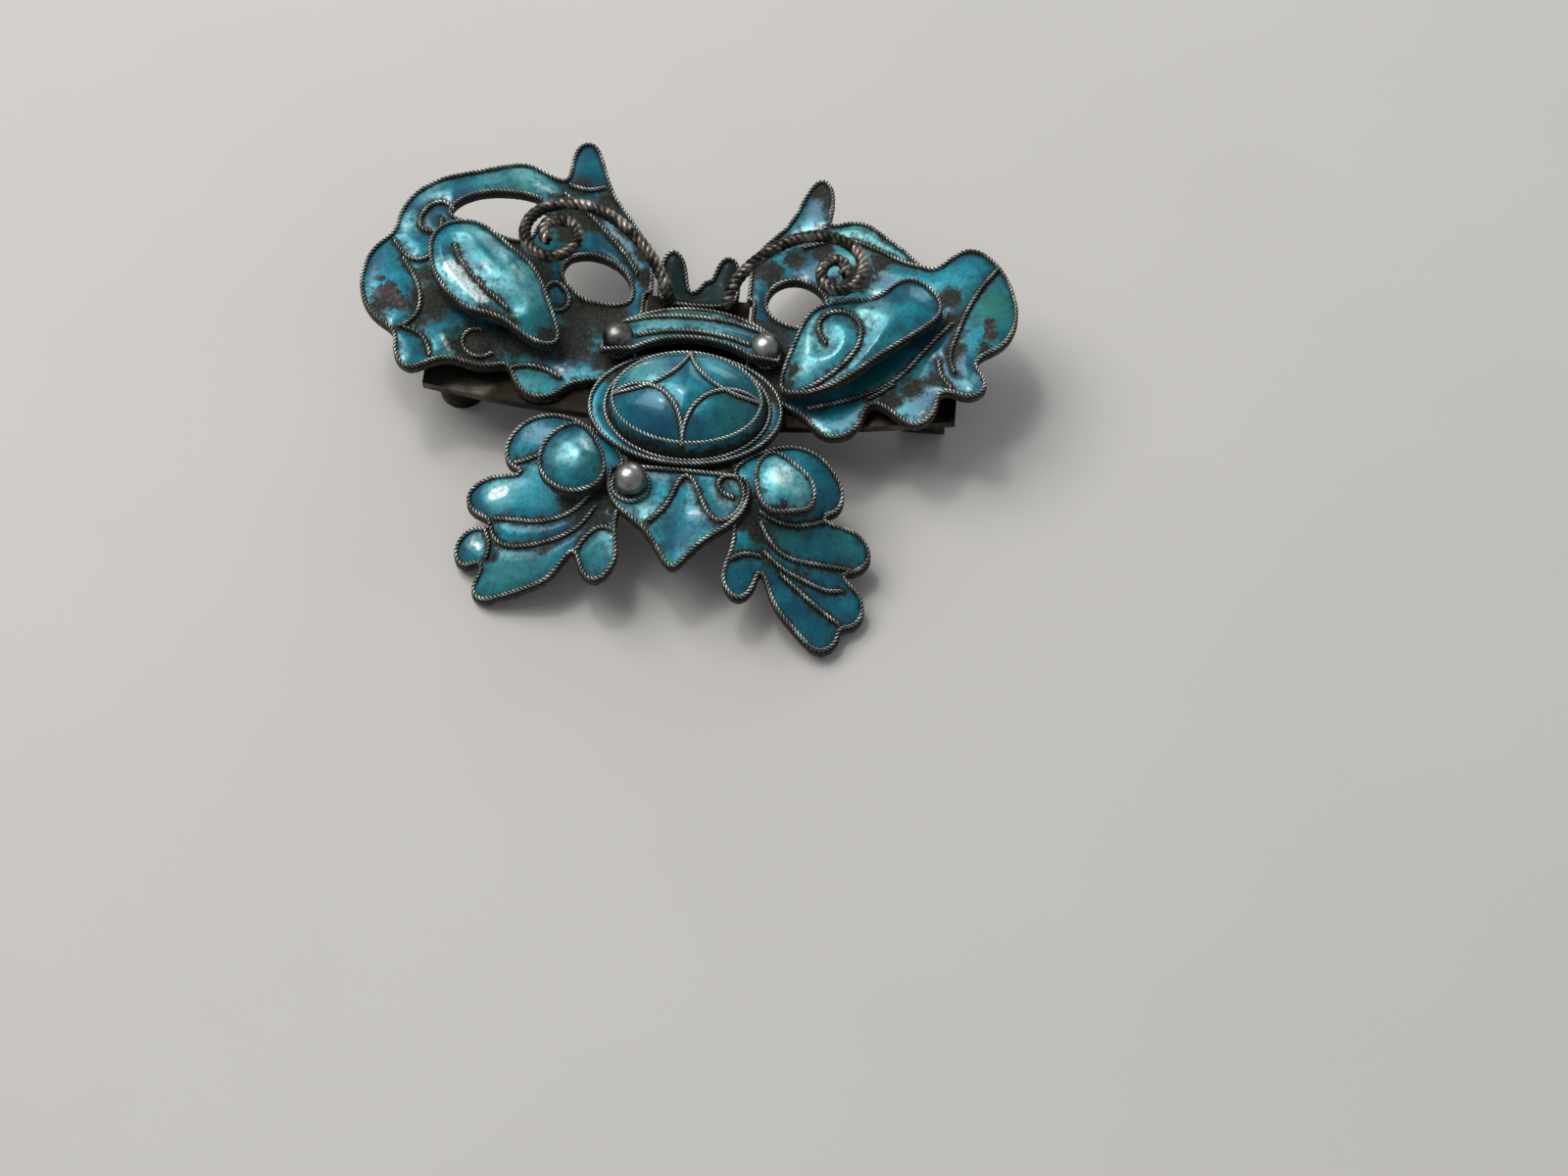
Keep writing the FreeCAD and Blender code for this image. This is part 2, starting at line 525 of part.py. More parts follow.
def lower_wing(name, side, parts):
    """Fan of lobes, its border and rib wires, and its domed lobe."""
    root, scale, bend = (LOWER_ROOT_X, LOWER_ROOT_Y), lower_scale(), lower_bend(side)
    outline = fitted(LOWER_OUTLINE[name], root, side, scale)
    lobe = fitted(LOBE_OUTLINE[name], root, side, scale)
    sheet = cut_from(face_in(closed_curve(outline)), bend.layer(-SHEET, 0))
    parts["lower_wing_" + name] = sheet.cut(spine_room())
    over = bend.layer(0, WIRE)
    body = prism(base_oval(SIDE_GAP)).fuse(prism(tail_face()))
    wires = rim(outline, WIRE, over)
    for rib in LOWER_RIBS[name]:
        wires = wires.fuse(cut_from(band(fitted(rib, root, side, scale), WIRE), over))
    parts["lower_wing_wires_" + name] = wires.cut(body)
    ball = leaf_ball(lobe, bend, LOBE_RADIUS, LOBE_LEAN)
    dome = cut_from(face_in(closed_curve(lobe)), ball.layer(-DOME_SHEET, 0))
    parts["lobe_" + name] = dome.cut(body)
    parts["lobe_wire_" + name] = rim(lobe, WIRE, ball.layer(0, WIRE)).cut(body)


def base_oval(grow=0.0):
    return ellipse(0, BODY_Y, BASE_LENGTH, BASE_WIDTH, grow)


def spine_room():
    """The spine and the gap on each side of it, over the body's length."""
    width = SPINE_WIDTH + 2 * SIDE_GAP
    return Part.makeBox(width, SPINE_BACK - SPINE_FRONT, HIGH - LOW, Vector(-width / 2, SPINE_FRONT, LOW))


def collar_footprint(grow=0.0):
    """The crescent round the back of the body."""
    outer = ellipse(0, COLLAR_Y, COLLAR_LENGTH, COLLAR_WIDTH, grow)
    half = COLLAR_HALF + grow
    keep = Part.makeBox(2 * half, FAR, 1, Vector(-half, COLLAR_FRONT - grow, -0.5))
    return outer.common(keep)


def tail_face():
    return face_in(closed_curve(TAIL_OUTLINE))


def body_pieces(parts):
    """Base plate, dome, rim and star wires, and the collar."""
    base = prism(base_oval()).common(slab(DECK_Z, BASE_Z))
    parts["body_base"] = base
    dome = egg(DOME_X, BODY_Y, BASE_Z, DOME_LENGTH, DOME_WIDTH, DOME_HEIGHT)
    hollow = egg(DOME_X, BODY_Y, BASE_Z, DOME_LENGTH, DOME_WIDTH, DOME_HEIGHT, -DOME_SHEET)
    parts["body_dome"] = dome.cut(hollow).common(above(BASE_Z))
    rim_in = ellipse(DOME_X, BODY_Y, DOME_LENGTH, DOME_WIDTH, WIRE_GAP / 2)
    rim_out = ellipse(DOME_X, BODY_Y, DOME_LENGTH, DOME_WIDTH, WIRE_GAP / 2 + WIRE)
    parts["body_rim_wire"] = prism(rim_out.cut(rim_in)).common(slab(BASE_Z, BASE_Z + WIRE))
    edge = base_oval().cut(base_oval(-WIRE))
    clear = ellipse(DOME_X, BODY_Y, DOME_LENGTH, DOME_WIDTH, WIRE_GAP + WIRE)
    collar_room = prism(collar_footprint(SIDE_GAP))
    outer_wire = prism(edge.cut(clear)).common(slab(BASE_Z, BASE_Z + WIRE)).cut(collar_room)
    parts["body_edge_wire"] = outer_wire
    crown = egg(DOME_X, BODY_Y, BASE_Z, DOME_LENGTH, DOME_WIDTH, DOME_HEIGHT, WIRE)
    skin = crown.cut(egg(DOME_X, BODY_Y, BASE_Z, DOME_LENGTH, DOME_WIDTH, DOME_HEIGHT))
    parts["body_star_wire"] = star_line().common(skin).common(above(BASE_Z + WIRE + WIRE_GAP))


def slab(low, high):
    return Part.makeBox(2 * FAR, 2 * FAR, high - low, Vector(-FAR, -FAR, low))


def star_line():
    """Four hollow curves that meet in tips on the dome's long and short axes."""
    a, b = STAR_REACH * DOME_LENGTH / 2, STAR_REACH * DOME_WIDTH / 2
    rings = None
    for along, back in ((1, 1), (-1, 1), (-1, -1), (1, -1)):
        waist = STAR_WAIST * math.sqrt(0.5)
        curve = Part.Arc(Vector(DOME_X + along * a, BODY_Y, 0),
                         Vector(DOME_X + along * waist, BODY_Y + back * waist, 0),
                         Vector(DOME_X, BODY_Y + back * b, 0)).toShape().Curve
        outer = rod(curve.Center.x, curve.Center.y, LOW, 2 * curve.Radius + WIRE, HIGH - LOW)
        ring = outer.cut(rod(curve.Center.x, curve.Center.y, LOW, 2 * curve.Radius - WIRE, HIGH - LOW))
        rings = ring if rings is None else rings.fuse(ring)
    return rings.common(prism(ellipse(DOME_X, BODY_Y, 2 * a, 2 * b)))


def collar(parts):
    """Crowned crescent with a flat foot over the wings' roots, and the wires on it."""
    foot = prism(collar_footprint())
    oval = prism(ellipse(DOME_X, BODY_Y, DOME_LENGTH, DOME_WIDTH, WIRE_GAP + WIRE + SIDE_GAP))
    outer = egg(0, COLLAR_Y, BASE_Z, COLLAR_LENGTH, COLLAR_WIDTH, COLLAR_RISE)
    inner = egg(0, COLLAR_Y, BASE_Z, COLLAR_LENGTH, COLLAR_WIDTH, COLLAR_RISE, -DOME_SHEET)
    flat = foot.common(slab(DECK_Z, BASE_Z)).cut(prism(base_oval(SNUG_GAP)))
    heads = bead_holes(BEAD + 2 * RIVET_CLEARANCE)
    crown = outer.cut(inner).common(foot).common(above(BASE_Z)).cut(oval).cut(heads)
    parts["collar"] = flat.cut(bead_holes(BEAD_SHANK + 2 * RIVET_CLEARANCE)).fuse(crown)
    line = band(COLLAR_RIDGE, WIRE)
    skin = egg(0, COLLAR_Y, BASE_Z, COLLAR_LENGTH, COLLAR_WIDTH, COLLAR_RISE, WIRE).cut(outer)
    edge = ellipse(0, COLLAR_Y, COLLAR_LENGTH, COLLAR_WIDTH, -COLLAR_HEM)
    edge = edge.cut(ellipse(0, COLLAR_Y, COLLAR_LENGTH, COLLAR_WIDTH, -COLLAR_HEM - WIRE))
    wires = prism(edge).common(foot).fuse(prism(line)).common(skin).common(above(BASE_Z))
    parts["collar_wires"] = wires.cut(heads).cut(oval)


def bead_holes(diameter):
    """Drills for the two rivets beside the collar."""
    first = rod(COLLAR_BEAD_X, COLLAR_BEAD_Y, LOW, diameter, HIGH - LOW)
    return first.fuse(rod(-COLLAR_BEAD_X, COLLAR_BEAD_Y, LOW, diameter, HIGH - LOW))


def bead_rivet(x, y, seat, back):
    """Ball head on a shank, with a peened tail behind the sheets that it holds."""
    ball = Part.makeSphere(BEAD / 2, Vector(x, y, seat + BEAD_LIFT * BEAD))
    shank = rod(x, y, back, BEAD_SHANK, seat + BEAD_SINK * BEAD - back)
    tail = rod(x, y, back - RIVET_TAIL_HEIGHT, RIVET_TAIL, RIVET_TAIL_HEIGHT)
    return ball.common(above(seat)).fuse(shank).fuse(tail)


def antenna(name, parts):
    parts["antenna_" + name] = tube(ANTENNA_PATH[name], ANTENNA_WIRE)


def crest(parts):
    bend = Bend(0, CREST_Y, 90, BASE_Z, [(PLAIN_START, 0), (CREST_CURVE, CREST_RISE)])
    face = face_in(closed_curve(CREST_OUTLINE))
    parts["head_crest"] = cut_from(face, bend.layer(-SHEET, 0))


def tail(parts):
    bend = Bend(0, SPINE_FRONT, -90, BASE_Z, [(PLAIN_START, 0), (TAIL_CURVE, -TAIL_DROOP)])
    hole = rod(TAIL_BEAD_X, TAIL_BEAD_Y, LOW, BEAD_SHANK + 2 * RIVET_CLEARANCE, HIGH - LOW)
    base = prism(base_oval(SNUG_GAP))
    parts["tail_shield"] = cut_from(tail_face(), bend.layer(-SHEET, 0)).cut(hole).cut(base)
    over = bend.layer(0, WIRE)
    body = prism(base_oval(SIDE_GAP))
    inside = BEAD + 2 * RIVET_CLEARANCE
    room = rod(TAIL_BEAD_X, TAIL_BEAD_Y, LOW, inside + 2 * WIRE + 2 * SIDE_GAP, HIGH - LOW)
    edge = rim(TAIL_OUTLINE, WIRE, over).cut(body).cut(room)
    parts["tail_edge_wire"] = edge
    beside = rim(TAIL_OUTLINE, WIRE + SIDE_GAP, over)
    scroll = cut_from(band(TAIL_SCROLL, WIRE), over).cut(body)
    parts["tail_scroll_wire"] = scroll.cut(beside).cut(room)
    ring = rod(TAIL_BEAD_X, TAIL_BEAD_Y, BASE_Z, inside + 2 * WIRE, WIRE)
    parts["tail_bead_ring"] = ring.cut(rod(TAIL_BEAD_X, TAIL_BEAD_Y, LOW, inside, HIGH - LOW)).cut(body)


def frame_pieces(parts):
    """Back bar, spine and the bead rivets that hold the layers together."""
    half, waist, end = BAR_LENGTH / 2, BAR_WAIST / 2, BAR_END / 2
    corners = [(-half, end), (0, waist), (half, end), (half, -end), (0, -waist), (-half, -end)]
    spots = [Vector(x, BAR_Y + y, 0) for x, y in corners]
    edges = [Part.Arc(spots[0], Vector(0, BAR_Y + waist, 0), spots[2]).toShape(),
             Part.LineSegment(spots[2], spots[3]).toShape(),
             Part.Arc(spots[3], Vector(0, BAR_Y - waist, 0), spots[5]).toShape(),
             Part.LineSegment(spots[5], spots[0]).toShape()]
    bar = prism(Part.Face(Part.Wire(edges))).common(slab(BAR_Z, SEAT_Z))
    shank = BEAD_SHANK + 2 * RIVET_CLEARANCE
    parts["back_bar"] = bar.cut(bead_holes(shank)).cut(hinge_hole())
    spine = Part.makeBox(SPINE_WIDTH, SPINE_BACK - SPINE_FRONT, SHEET,
                         Vector(-SPINE_WIDTH / 2, SPINE_FRONT, SEAT_Z))
    parts["spine_strip"] = spine.cut(rod(TAIL_BEAD_X, TAIL_BEAD_Y, LOW, shank, HIGH - LOW))
    for name, side in SIDES.items():
        rivet = bead_rivet(side * COLLAR_BEAD_X, COLLAR_BEAD_Y, BASE_Z, BAR_Z)
        parts["bead_rivet_" + name] = rivet
    parts["bead_rivet_tail"] = bead_rivet(TAIL_BEAD_X, TAIL_BEAD_Y, BASE_Z, SEAT_Z)


def hinge_hole():
    return rod(HINGE_X, PIN_Y, LOW, HINGE_SHANK + 2 * HINGE_FIT, HIGH - LOW)


def fastening(parts):
    """Hinge rivet, spacer, swinging tongue and hooked catch."""
    head = rod(HINGE_X, PIN_Y, 0, HINGE_HEAD, HINGE_HEAD_HEIGHT)
    shank = rod(HINGE_X, PIN_Y, 0, HINGE_SHANK, SEAT_Z)
    cap = Part.makeSphere(HINGE_HEAD / 2, Vector(HINGE_X, PIN_Y, SEAT_Z + HINGE_CAP_HEIGHT - HINGE_HEAD / 2))
    parts["hinge_rivet"] = head.fuse(shank).fuse(cap.common(above(SEAT_Z)))
    spacer_z = TONGUE_Z + TONGUE_DIAMETER / 2 + HINGE_END_PLAY
    spacer = rod(HINGE_X, PIN_Y, spacer_z, HINGE_HEAD, BAR_Z - spacer_z)
    parts["hinge_spacer"] = spacer.cut(hinge_hole())
    bore = rod(HINGE_X, PIN_Y, LOW, HINGE_SHANK + 2 * HINGE_CLEARANCE, HIGH - LOW)
    eye = rod(HINGE_X, PIN_Y, TONGUE_Z - TONGUE_DIAMETER / 2, EYE_DIAMETER, TONGUE_DIAMETER)
    along = Vector(1, 0, 0)
    start = Vector(HINGE_X, PIN_Y, TONGUE_Z)
    straight = TONGUE_LENGTH - TONGUE_POINT
    wire = Part.makeCylinder(TONGUE_DIAMETER / 2, straight, start, along)
    point = Part.makeCone(TONGUE_DIAMETER / 2, TONGUE_TIP_DIAMETER / 2, TONGUE_POINT,
                          start + along * straight, along)
    parts["pin_tongue"] = eye.fuse(wire).fuse(point).cut(bore)
    catch(parts)


def catch(parts):
    """A strip folded from a flange on the bar, down and under the tongue, open at the back."""
    inner = min(TONGUE_DIAMETER / 2 + CATCH_CLEARANCE, TONGUE_Z - CATCH_SHEET)
    x = BAR_LENGTH / 2 - CATCH_SET_BACK - CATCH_WIDTH / 2
    wall_out, wall_in = PIN_Y - inner - CATCH_SHEET, PIN_Y - inner
    flange_y = PIN_Y + inner + CATCH_SHEET
    bottom_out, bottom_in = TONGUE_Z - inner - CATCH_SHEET, TONGUE_Z - inner

    def at(y, z):
        return Vector(x, y, z)

    def arc(radius):
        turned = radius * math.sqrt(0.5)
        return Part.Arc(at(PIN_Y - radius, TONGUE_Z), at(PIN_Y - turned, TONGUE_Z - turned),
                        at(PIN_Y, TONGUE_Z - radius)).toShape()

    def line(a, b):
        return Part.LineSegment(at(*a), at(*b)).toShape()

    edges = [arc(inner), arc(inner + CATCH_SHEET),
             line((PIN_Y, bottom_in), (flange_y, bottom_in)),
             line((flange_y, bottom_in), (flange_y, bottom_out)),
             line((flange_y, bottom_out), (PIN_Y, bottom_out)),
             line((wall_out, TONGUE_Z), (wall_out, BAR_Z)),
             line((wall_out, BAR_Z), (flange_y, BAR_Z)),
             line((flange_y, BAR_Z), (flange_y, BAR_Z - CATCH_SHEET)),
             line((flange_y, BAR_Z - CATCH_SHEET), (wall_in, BAR_Z - CATCH_SHEET)),
             line((wall_in, BAR_Z - CATCH_SHEET), (wall_in, TONGUE_Z))]
    side = Part.Face(Part.Wire(Part.__sortEdges__(edges)))
    parts["catch"] = side.extrude(Vector(CATCH_WIDTH, 0, 0))


def build():
    parts = {}
    frame_pieces(parts)
    fastening(parts)
    body_pieces(parts)
    collar(parts)
    crest(parts)
    tail(parts)
    for name, side in SIDES.items():
        upper_wing(name, side, parts)
        lower_wing(name, side, parts)
        antenna(name, parts)
    return parts


def centred(parts):
    """Every piece, moved so that the ornament's outer limits lie evenly about the origin."""
    box = FreeCAD.BoundBox()
    for shape in parts.values():
        box.add(shape.optimalBoundingBox(False, False))
    for shape in parts.values():
        shape.translate(Vector(-box.Center.x, -box.Center.y, 0))
    return parts


def main():
    os.makedirs("parts", exist_ok=True)
    for name, shape in centred(build()).items():
        solids = [s for s in shape.Solids if s.Volume > SMALLEST_PIECE]
        whole = solids[0] if len(solids) == 1 else Part.makeCompound(solids)
        whole.exportStep("parts/%s.step" % name)
        print("%-24s solids %d volume %.2f" % (name, len(solids), whole.Volume))


main()
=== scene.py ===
"""Looks of the butterfly hair pin: enamelled sheets, twisted wires and aged silver.

The sheets and wires follow the construction model's own surfaces. Sizes are in
millimetres until a mesh is made, and the meshes are in metres.
"""

import sys

import json
import logging
import math
from dataclasses import dataclass, field
from enum import Enum
from typing import Callable, Dict, List, Optional, Sequence, Tuple

import bmesh
import bpy
import numpy as np
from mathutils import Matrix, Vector
from mathutils.bvhtree import BVHTree
from mathutils.geometry import delaunay_2d_cdt

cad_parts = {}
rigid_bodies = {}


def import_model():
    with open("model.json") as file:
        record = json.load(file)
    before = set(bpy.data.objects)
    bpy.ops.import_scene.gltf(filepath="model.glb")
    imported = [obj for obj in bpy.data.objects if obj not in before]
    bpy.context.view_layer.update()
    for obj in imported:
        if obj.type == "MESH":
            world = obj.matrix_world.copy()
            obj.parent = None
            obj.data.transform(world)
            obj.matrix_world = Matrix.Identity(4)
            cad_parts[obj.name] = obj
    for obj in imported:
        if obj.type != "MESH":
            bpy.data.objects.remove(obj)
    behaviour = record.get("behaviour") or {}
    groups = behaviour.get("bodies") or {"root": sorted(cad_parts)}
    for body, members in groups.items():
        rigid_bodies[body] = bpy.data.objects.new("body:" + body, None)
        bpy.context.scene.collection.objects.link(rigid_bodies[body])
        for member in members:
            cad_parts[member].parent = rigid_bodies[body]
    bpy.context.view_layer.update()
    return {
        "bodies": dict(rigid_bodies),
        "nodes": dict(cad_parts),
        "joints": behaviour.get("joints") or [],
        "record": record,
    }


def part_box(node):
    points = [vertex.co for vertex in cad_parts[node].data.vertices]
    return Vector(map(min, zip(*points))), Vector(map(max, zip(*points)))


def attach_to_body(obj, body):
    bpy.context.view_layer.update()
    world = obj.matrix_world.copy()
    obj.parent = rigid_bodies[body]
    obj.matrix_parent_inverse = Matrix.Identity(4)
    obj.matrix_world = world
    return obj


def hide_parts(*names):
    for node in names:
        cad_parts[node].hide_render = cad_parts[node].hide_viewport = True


LOG = logging.getLogger("hair_pin")
MM = 0.001
LINE_STEP = 0.12       # between the samples of a drawn line
RIM_STEP = 0.16        # between the samples of a sheet's rim
TWIST_STEP = 0.15      # between the samples of a wire's closed path
RING_COUNT = 240       # samples of an oval before they are spaced evenly
SPAN_SAMPLES = 24      # samples of each span of a curve before they are spaced evenly

Point = Tuple[float, float]
Path = List[Point]
Heights = Callable[[np.ndarray], np.ndarray]
Spot = Tuple[float, float, float, float]   # x, y, radius, strength
Run = Tuple[np.ndarray, bool]              # a wire's path in space, and whether it is closed
Colour = Tuple[float, float, float]


class Body(str, Enum):
    """The two bodies of the frame that pieces ride on."""

    ORNAMENT = "ornament"
    TONGUE = "tongue"


class Side(str, Enum):
    """The side of negative or of positive X; the words are those in the node names."""

    LEFT = "left"
    RIGHT = "right"


class Mark(str, Enum):
    """What a place on the enamel can be marked with; the words are the meshes' attributes."""

    GRIME = "grime"
    WORN = "worn"
    GREEN = "green"
    # pale foil, and a painted highlight where the mark is strong
    PALE = "pale"
    # deeper enamel, and painted shade
    DEEP = "deep"


Marks = Dict[Mark, List[Spot]]


def highlight_streak(first: Point, last: Point, radius: float, strength: float) -> List[Spot]:
    """Spots that run into each other along a straight stretch, used for painted highlight streaks on the
    enamel.

    Args:
        first: where it starts.
        last: where it ends.
        radius: each spot's radius.
        strength: each spot's strength.

    Returns:
        Spots half a radius apart or closer.
    """
    count = 1 + math.ceil(math.dist(first, last) / (0.5 * radius))
    return [(*((1 - t) * a + t * b for a, b in zip(first, last)), radius, strength)
            for t in np.linspace(0, 1, count)]


# --------------------------------------------------------------------- curves
def rounded(points: Sequence[Sequence[float]], step: float, closed: bool = False) -> np.ndarray:
    """A smooth line that is drawn towards its points, as a uniform cubic curve.

    Args:
        points: corner points of any dimension, in order.
        step: distance between the samples.
        closed: True for a loop.

    Returns:
        Evenly spaced samples, one row each; a loop doesn't repeat its first.
    """
    poles = np.asarray(points, float)
    count = len(poles)
    if closed:
        poles = np.vstack([poles[-1:], poles, poles[:2]])
    else:
        poles = np.vstack([2 * poles[:1] - poles[1:2], poles, 2 * poles[-1:] - poles[-2:-1]])
    t = np.linspace(0, 1, SPAN_SAMPLES, endpoint=False)[:, None]
    spans = count if closed else count - 1
    runs = []
    for i in range(spans):
        a, b, c, d = poles[i:i + 4]
        runs.append(((1 - t) ** 3 * a + (3 * t ** 3 - 6 * t ** 2 + 4) * b
                     + (-3 * t ** 3 + 3 * t ** 2 + 3 * t + 1) * c + t ** 3 * d) / 6)
    line = np.vstack(runs + ([] if closed else [poles[-2:-1]]))
    return evenly(line, step, closed)


def evenly(line: np.ndarray, step: float, closed: bool) -> np.ndarray:
    """The same line with samples a near-equal distance apart.

    Args:
        line: samples, one row each.
        step: wished distance between samples.
        closed: True for a loop.

    Returns:
        New samples, at least four.
    """
    whole = np.vstack([line, line[:1]]) if closed else line
    lengths = np.linalg.norm(np.diff(whole, axis=0), axis=1)
    along = np.concatenate([[0], np.cumsum(lengths)])
    count = max(4, int(round(along[-1] / step)))
    places = np.linspace(0, along[-1], count + 1)
    if closed:
        places = places[:-1]
    return np.stack([np.interp(places, along, whole[:, k]) for k in range(line.shape[1])], 1)


def inset(loop: np.ndarray, away: float) -> np.ndarray:
    """A loop moved sideways to its left by a distance, without the samples that fold over.

    Args:
        loop: samples of a closed line, one row each.
        away: distance; negative moves it to the right.

    Returns:
        The moved loop's samples.
    """
    along = np.roll(loop, -1, 0) - np.roll(loop, 1, 0)
    along /= np.linalg.norm(along, axis=1)[:, None] + 1e-12
    moved = loop + away * np.stack([-along[:, 1], along[:, 0]], 1)
    return moved[distance_to(moved, loop) > 0.97 * abs(away)]


def distance_to(points: np.ndarray, samples: np.ndarray) -> np.ndarray:
    """Each point's distance to the nearest sample.

    Args:
        points: places in plan, one row each.
        samples: places in plan, one row each.

    Returns:
        One distance for each point.
    """
    nearest = np.full(len(points), 1e9)
    for start in range(0, len(samples), 400):
        part = samples[start:start + 400]
        gap = np.linalg.norm(points[:, None, :] - part[None, :, :], axis=2)
        nearest = np.minimum(nearest, gap.min(1))
    return nearest


def area_of(loop: np.ndarray) -> float:
    """The signed area of a loop in plan, positive when it runs counter-clockwise."""
    x, y = loop[:, 0], loop[:, 1]
    return 0.5 * float(np.sum(x * np.roll(y, -1) - np.roll(x, -1) * y))


def inside(points: np.ndarray, loops: Sequence[np.ndarray]) -> np.ndarray:
    """Which points lie inside an odd number of loops.

    Args:
        points: places in plan, one row each.
        loops: closed lines in plan.

    Returns:
        One truth value for each point.
    """
    crossings = np.zeros(len(points), int)
    for loop in loops:
        x0, y0 = loop[:, 0], loop[:, 1]
        x1, y1 = np.roll(x0, -1), np.roll(y0, -1)
        for k in range(0, len(points), 2000):
            px, py = points[k:k + 2000, 0][:, None], points[k:k + 2000, 1][:, None]
            spans = (y0 > py) != (y1 > py)
            with np.errstate(divide="ignore", invalid="ignore"):
                cut = x0 + (py - y0) * (x1 - x0) / (y1 - y0)
            crossings[k:k + 2000] += (spans & (px < cut)).sum(1)
    return crossings % 2 == 1


def oval(centre: Sequence[float], half_length: float, half_width: float) -> np.ndarray:
    """Samples of an ellipse in plan, counter-clockwise.

    Args:
        centre: its middle.
        half_length: half its size along X.
        half_width: half its size along Y.

    Returns:
        The samples, one row each, closer together near its ends.
    """
    turn = np.linspace(0, 2 * math.pi, RING_COUNT, endpoint=False)
    return centre + np.stack([half_length * np.cos(turn), half_width * np.sin(turn)], 1)


def cushion(centre: Sequence[float], half_length: float, half_width: float,
            floor: float, rise: float) -> Heights:
    """The height of the upper half of an ellipsoid.

    Args:
        centre: its middle in plan.
        half_length: half its size along X.
        half_width: half its size along Y.
        floor: height of its rim, and of the ground round it.
        rise: its height over the rim.

    Returns:
        A function that gives heights over places in plan.
    """
    def height(points: np.ndarray) -> np.ndarray:
        """Heights over places in plan."""
        share = (((points[:, 0] - centre[0]) / half_length) ** 2
                 + ((points[:, 1] - centre[1]) / half_width) ** 2)
        return floor + rise * np.sqrt(np.clip(1 - share, 0.0, 1))

    return height


def arc(first: np.ndarray, middle: np.ndarray, last: np.ndarray, count: int) -> np.ndarray:
    """Points on the circle through three points.

    Args:
        first: where the arc starts.
        middle: a point on the way.
        last: where it ends.
        count: how many points to give.

    Returns:
        The points, one row each.
    """
    sides = 2 * np.array([middle - first, last - middle])
    sums = np.array([middle @ middle - first @ first, last @ last - middle @ middle])
    centre = np.linalg.solve(sides, sums)
    radius = np.linalg.norm(first - centre)
    start, end = [math.atan2(*(p - centre)[::-1]) for p in (first, last)]
    turn = (end - start + math.pi) % (2 * math.pi) - math.pi
    spread = start + np.linspace(0, 1, count) * turn
    return centre + radius * np.stack([np.cos(spread), np.sin(spread)], 1)


# ---------------------------------------------------------------------- frame
class Bench:
    """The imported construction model: its surfaces, outlines and places, in millimetres."""

    HINGE_IN_PLAN = (-12.35, 2.0)     # the hinge's place when the body's middle is at zero
    UPWARD = 0.45                     # least upward part of the normal of an upper face
    MERGE = 0.0005                    # between corners that are one
    SHORTEST_RIM = 8                  # corners; fewer are a nick in the mesh
    SMALLEST_WINDOW = 0.4             # area in square millimetres
    OVERHEAD = 30.0                   # where the rays that feel for a surface start

    def __init__(self, frame: Dict) -> None:
        """Keeps the frame and works out where the drawing's zero lies in it."""
        self.frame = frame
        self.nodes = frame["nodes"]
        hinge = frame["joints"][0]["pos_m"]
        self.shift = np.array(hinge[:2]) / MM - np.array(self.HINGE_IN_PLAN)

    def placed(self, points: Sequence[Sequence[float]]) -> np.ndarray:
        """Drawing points, moved to the frame's own zero."""
        moved = np.array(points, float)
        moved[:, :2] += self.shift
        return moved

    def merged(self, node: str) -> bmesh.types.BMesh:
        """A joined-up copy of a node's mesh, in millimetres."""
        mesh = bmesh.new()
        mesh.from_mesh(self.nodes[node].data)
        bmesh.ops.scale(mesh, vec=(1 / MM,) * 3, verts=mesh.verts)
        bmesh.ops.remove_doubles(mesh, verts=mesh.verts, dist=self.MERGE)
        mesh.normal_update()
        return mesh

    def outlines(self, node: str, step: float) -> List[np.ndarray]:
        """The rims of a sheet's upper face, the outer one first.

        Args:
            node: the sheet's name.
            step: distance between the samples.

        Returns:
            Closed lines in plan, counter-clockwise outside and clockwise round windows.
        """
        mesh = self.merged(node)
        upper = {f for f in mesh.faces if f.normal.z >= self.UPWARD}
        following: Dict[int, List[int]] = {}
        for edge in mesh.edges:
            tops = [f for f in edge.link_faces if f in upper]
            if len(tops) == 1:
                a, b = edge.verts[0].index, edge.verts[1].index
                following.setdefault(a, []).append(b)
                following.setdefault(b, []).append(a)
        places = {v.index: (v.co.x, v.co.y) for v in mesh.verts}
        loops = []
        unused = set(following)
        while unused:
            here = unused.pop()
            chain, before = [here], None
            while True:
                ways = [n for n in following[here] if n != before and n in unused]
                if not ways:
                    break
                before, here = here, ways[0]
                unused.discard(here)
                chain.append(here)
            if len(chain) > self.SHORTEST_RIM:
                loops.append(evenly(np.array([places[i] for i in chain]), step, True))
        mesh.free()
        loops.sort(key=lambda loop: -abs(area_of(loop)))
        kept = loops[:1] + [loop for loop in loops[1:] if abs(area_of(loop)) > self.SMALLEST_WINDOW]
        return [loop[::-1] if (area_of(loop) > 0) == (k > 0) else loop for k, loop in enumerate(kept)]

    def surface(self, node: str) -> Heights:
        """A function that gives the height of a node's upper face over places in plan."""
        mesh = self.merged(node)
        covers = [f for f in mesh.faces if f.normal.z < self.UPWARD]
        bmesh.ops.delete(mesh, geom=covers, context="FACES")
        tree = BVHTree.FromBMesh(mesh)
        mesh.free()

        def height(points: np.ndarray) -> np.ndarray:
            """Heights under a vertical ray, taken from the nearest surface where it misses."""
            found = np.zeros(len(points))
            for k, (x, y) in enumerate(points[:, :2]):
                hit = tree.ray_cast(Vector((x, y, self.OVERHEAD)), Vector((0, 0, -1)))[0]
                found[k] = hit.z if hit else np.nan
            missed = np.isnan(found)
            if missed.any() and not missed.all():
                known, where = found[~missed], points[~missed][:, :2]
                for k in np.nonzero(missed)[0]:
                    gap = np.linalg.norm(where - points[k, :2], axis=1)
                    found[k] = known[int(gap.argmin())]
            return found

        return height


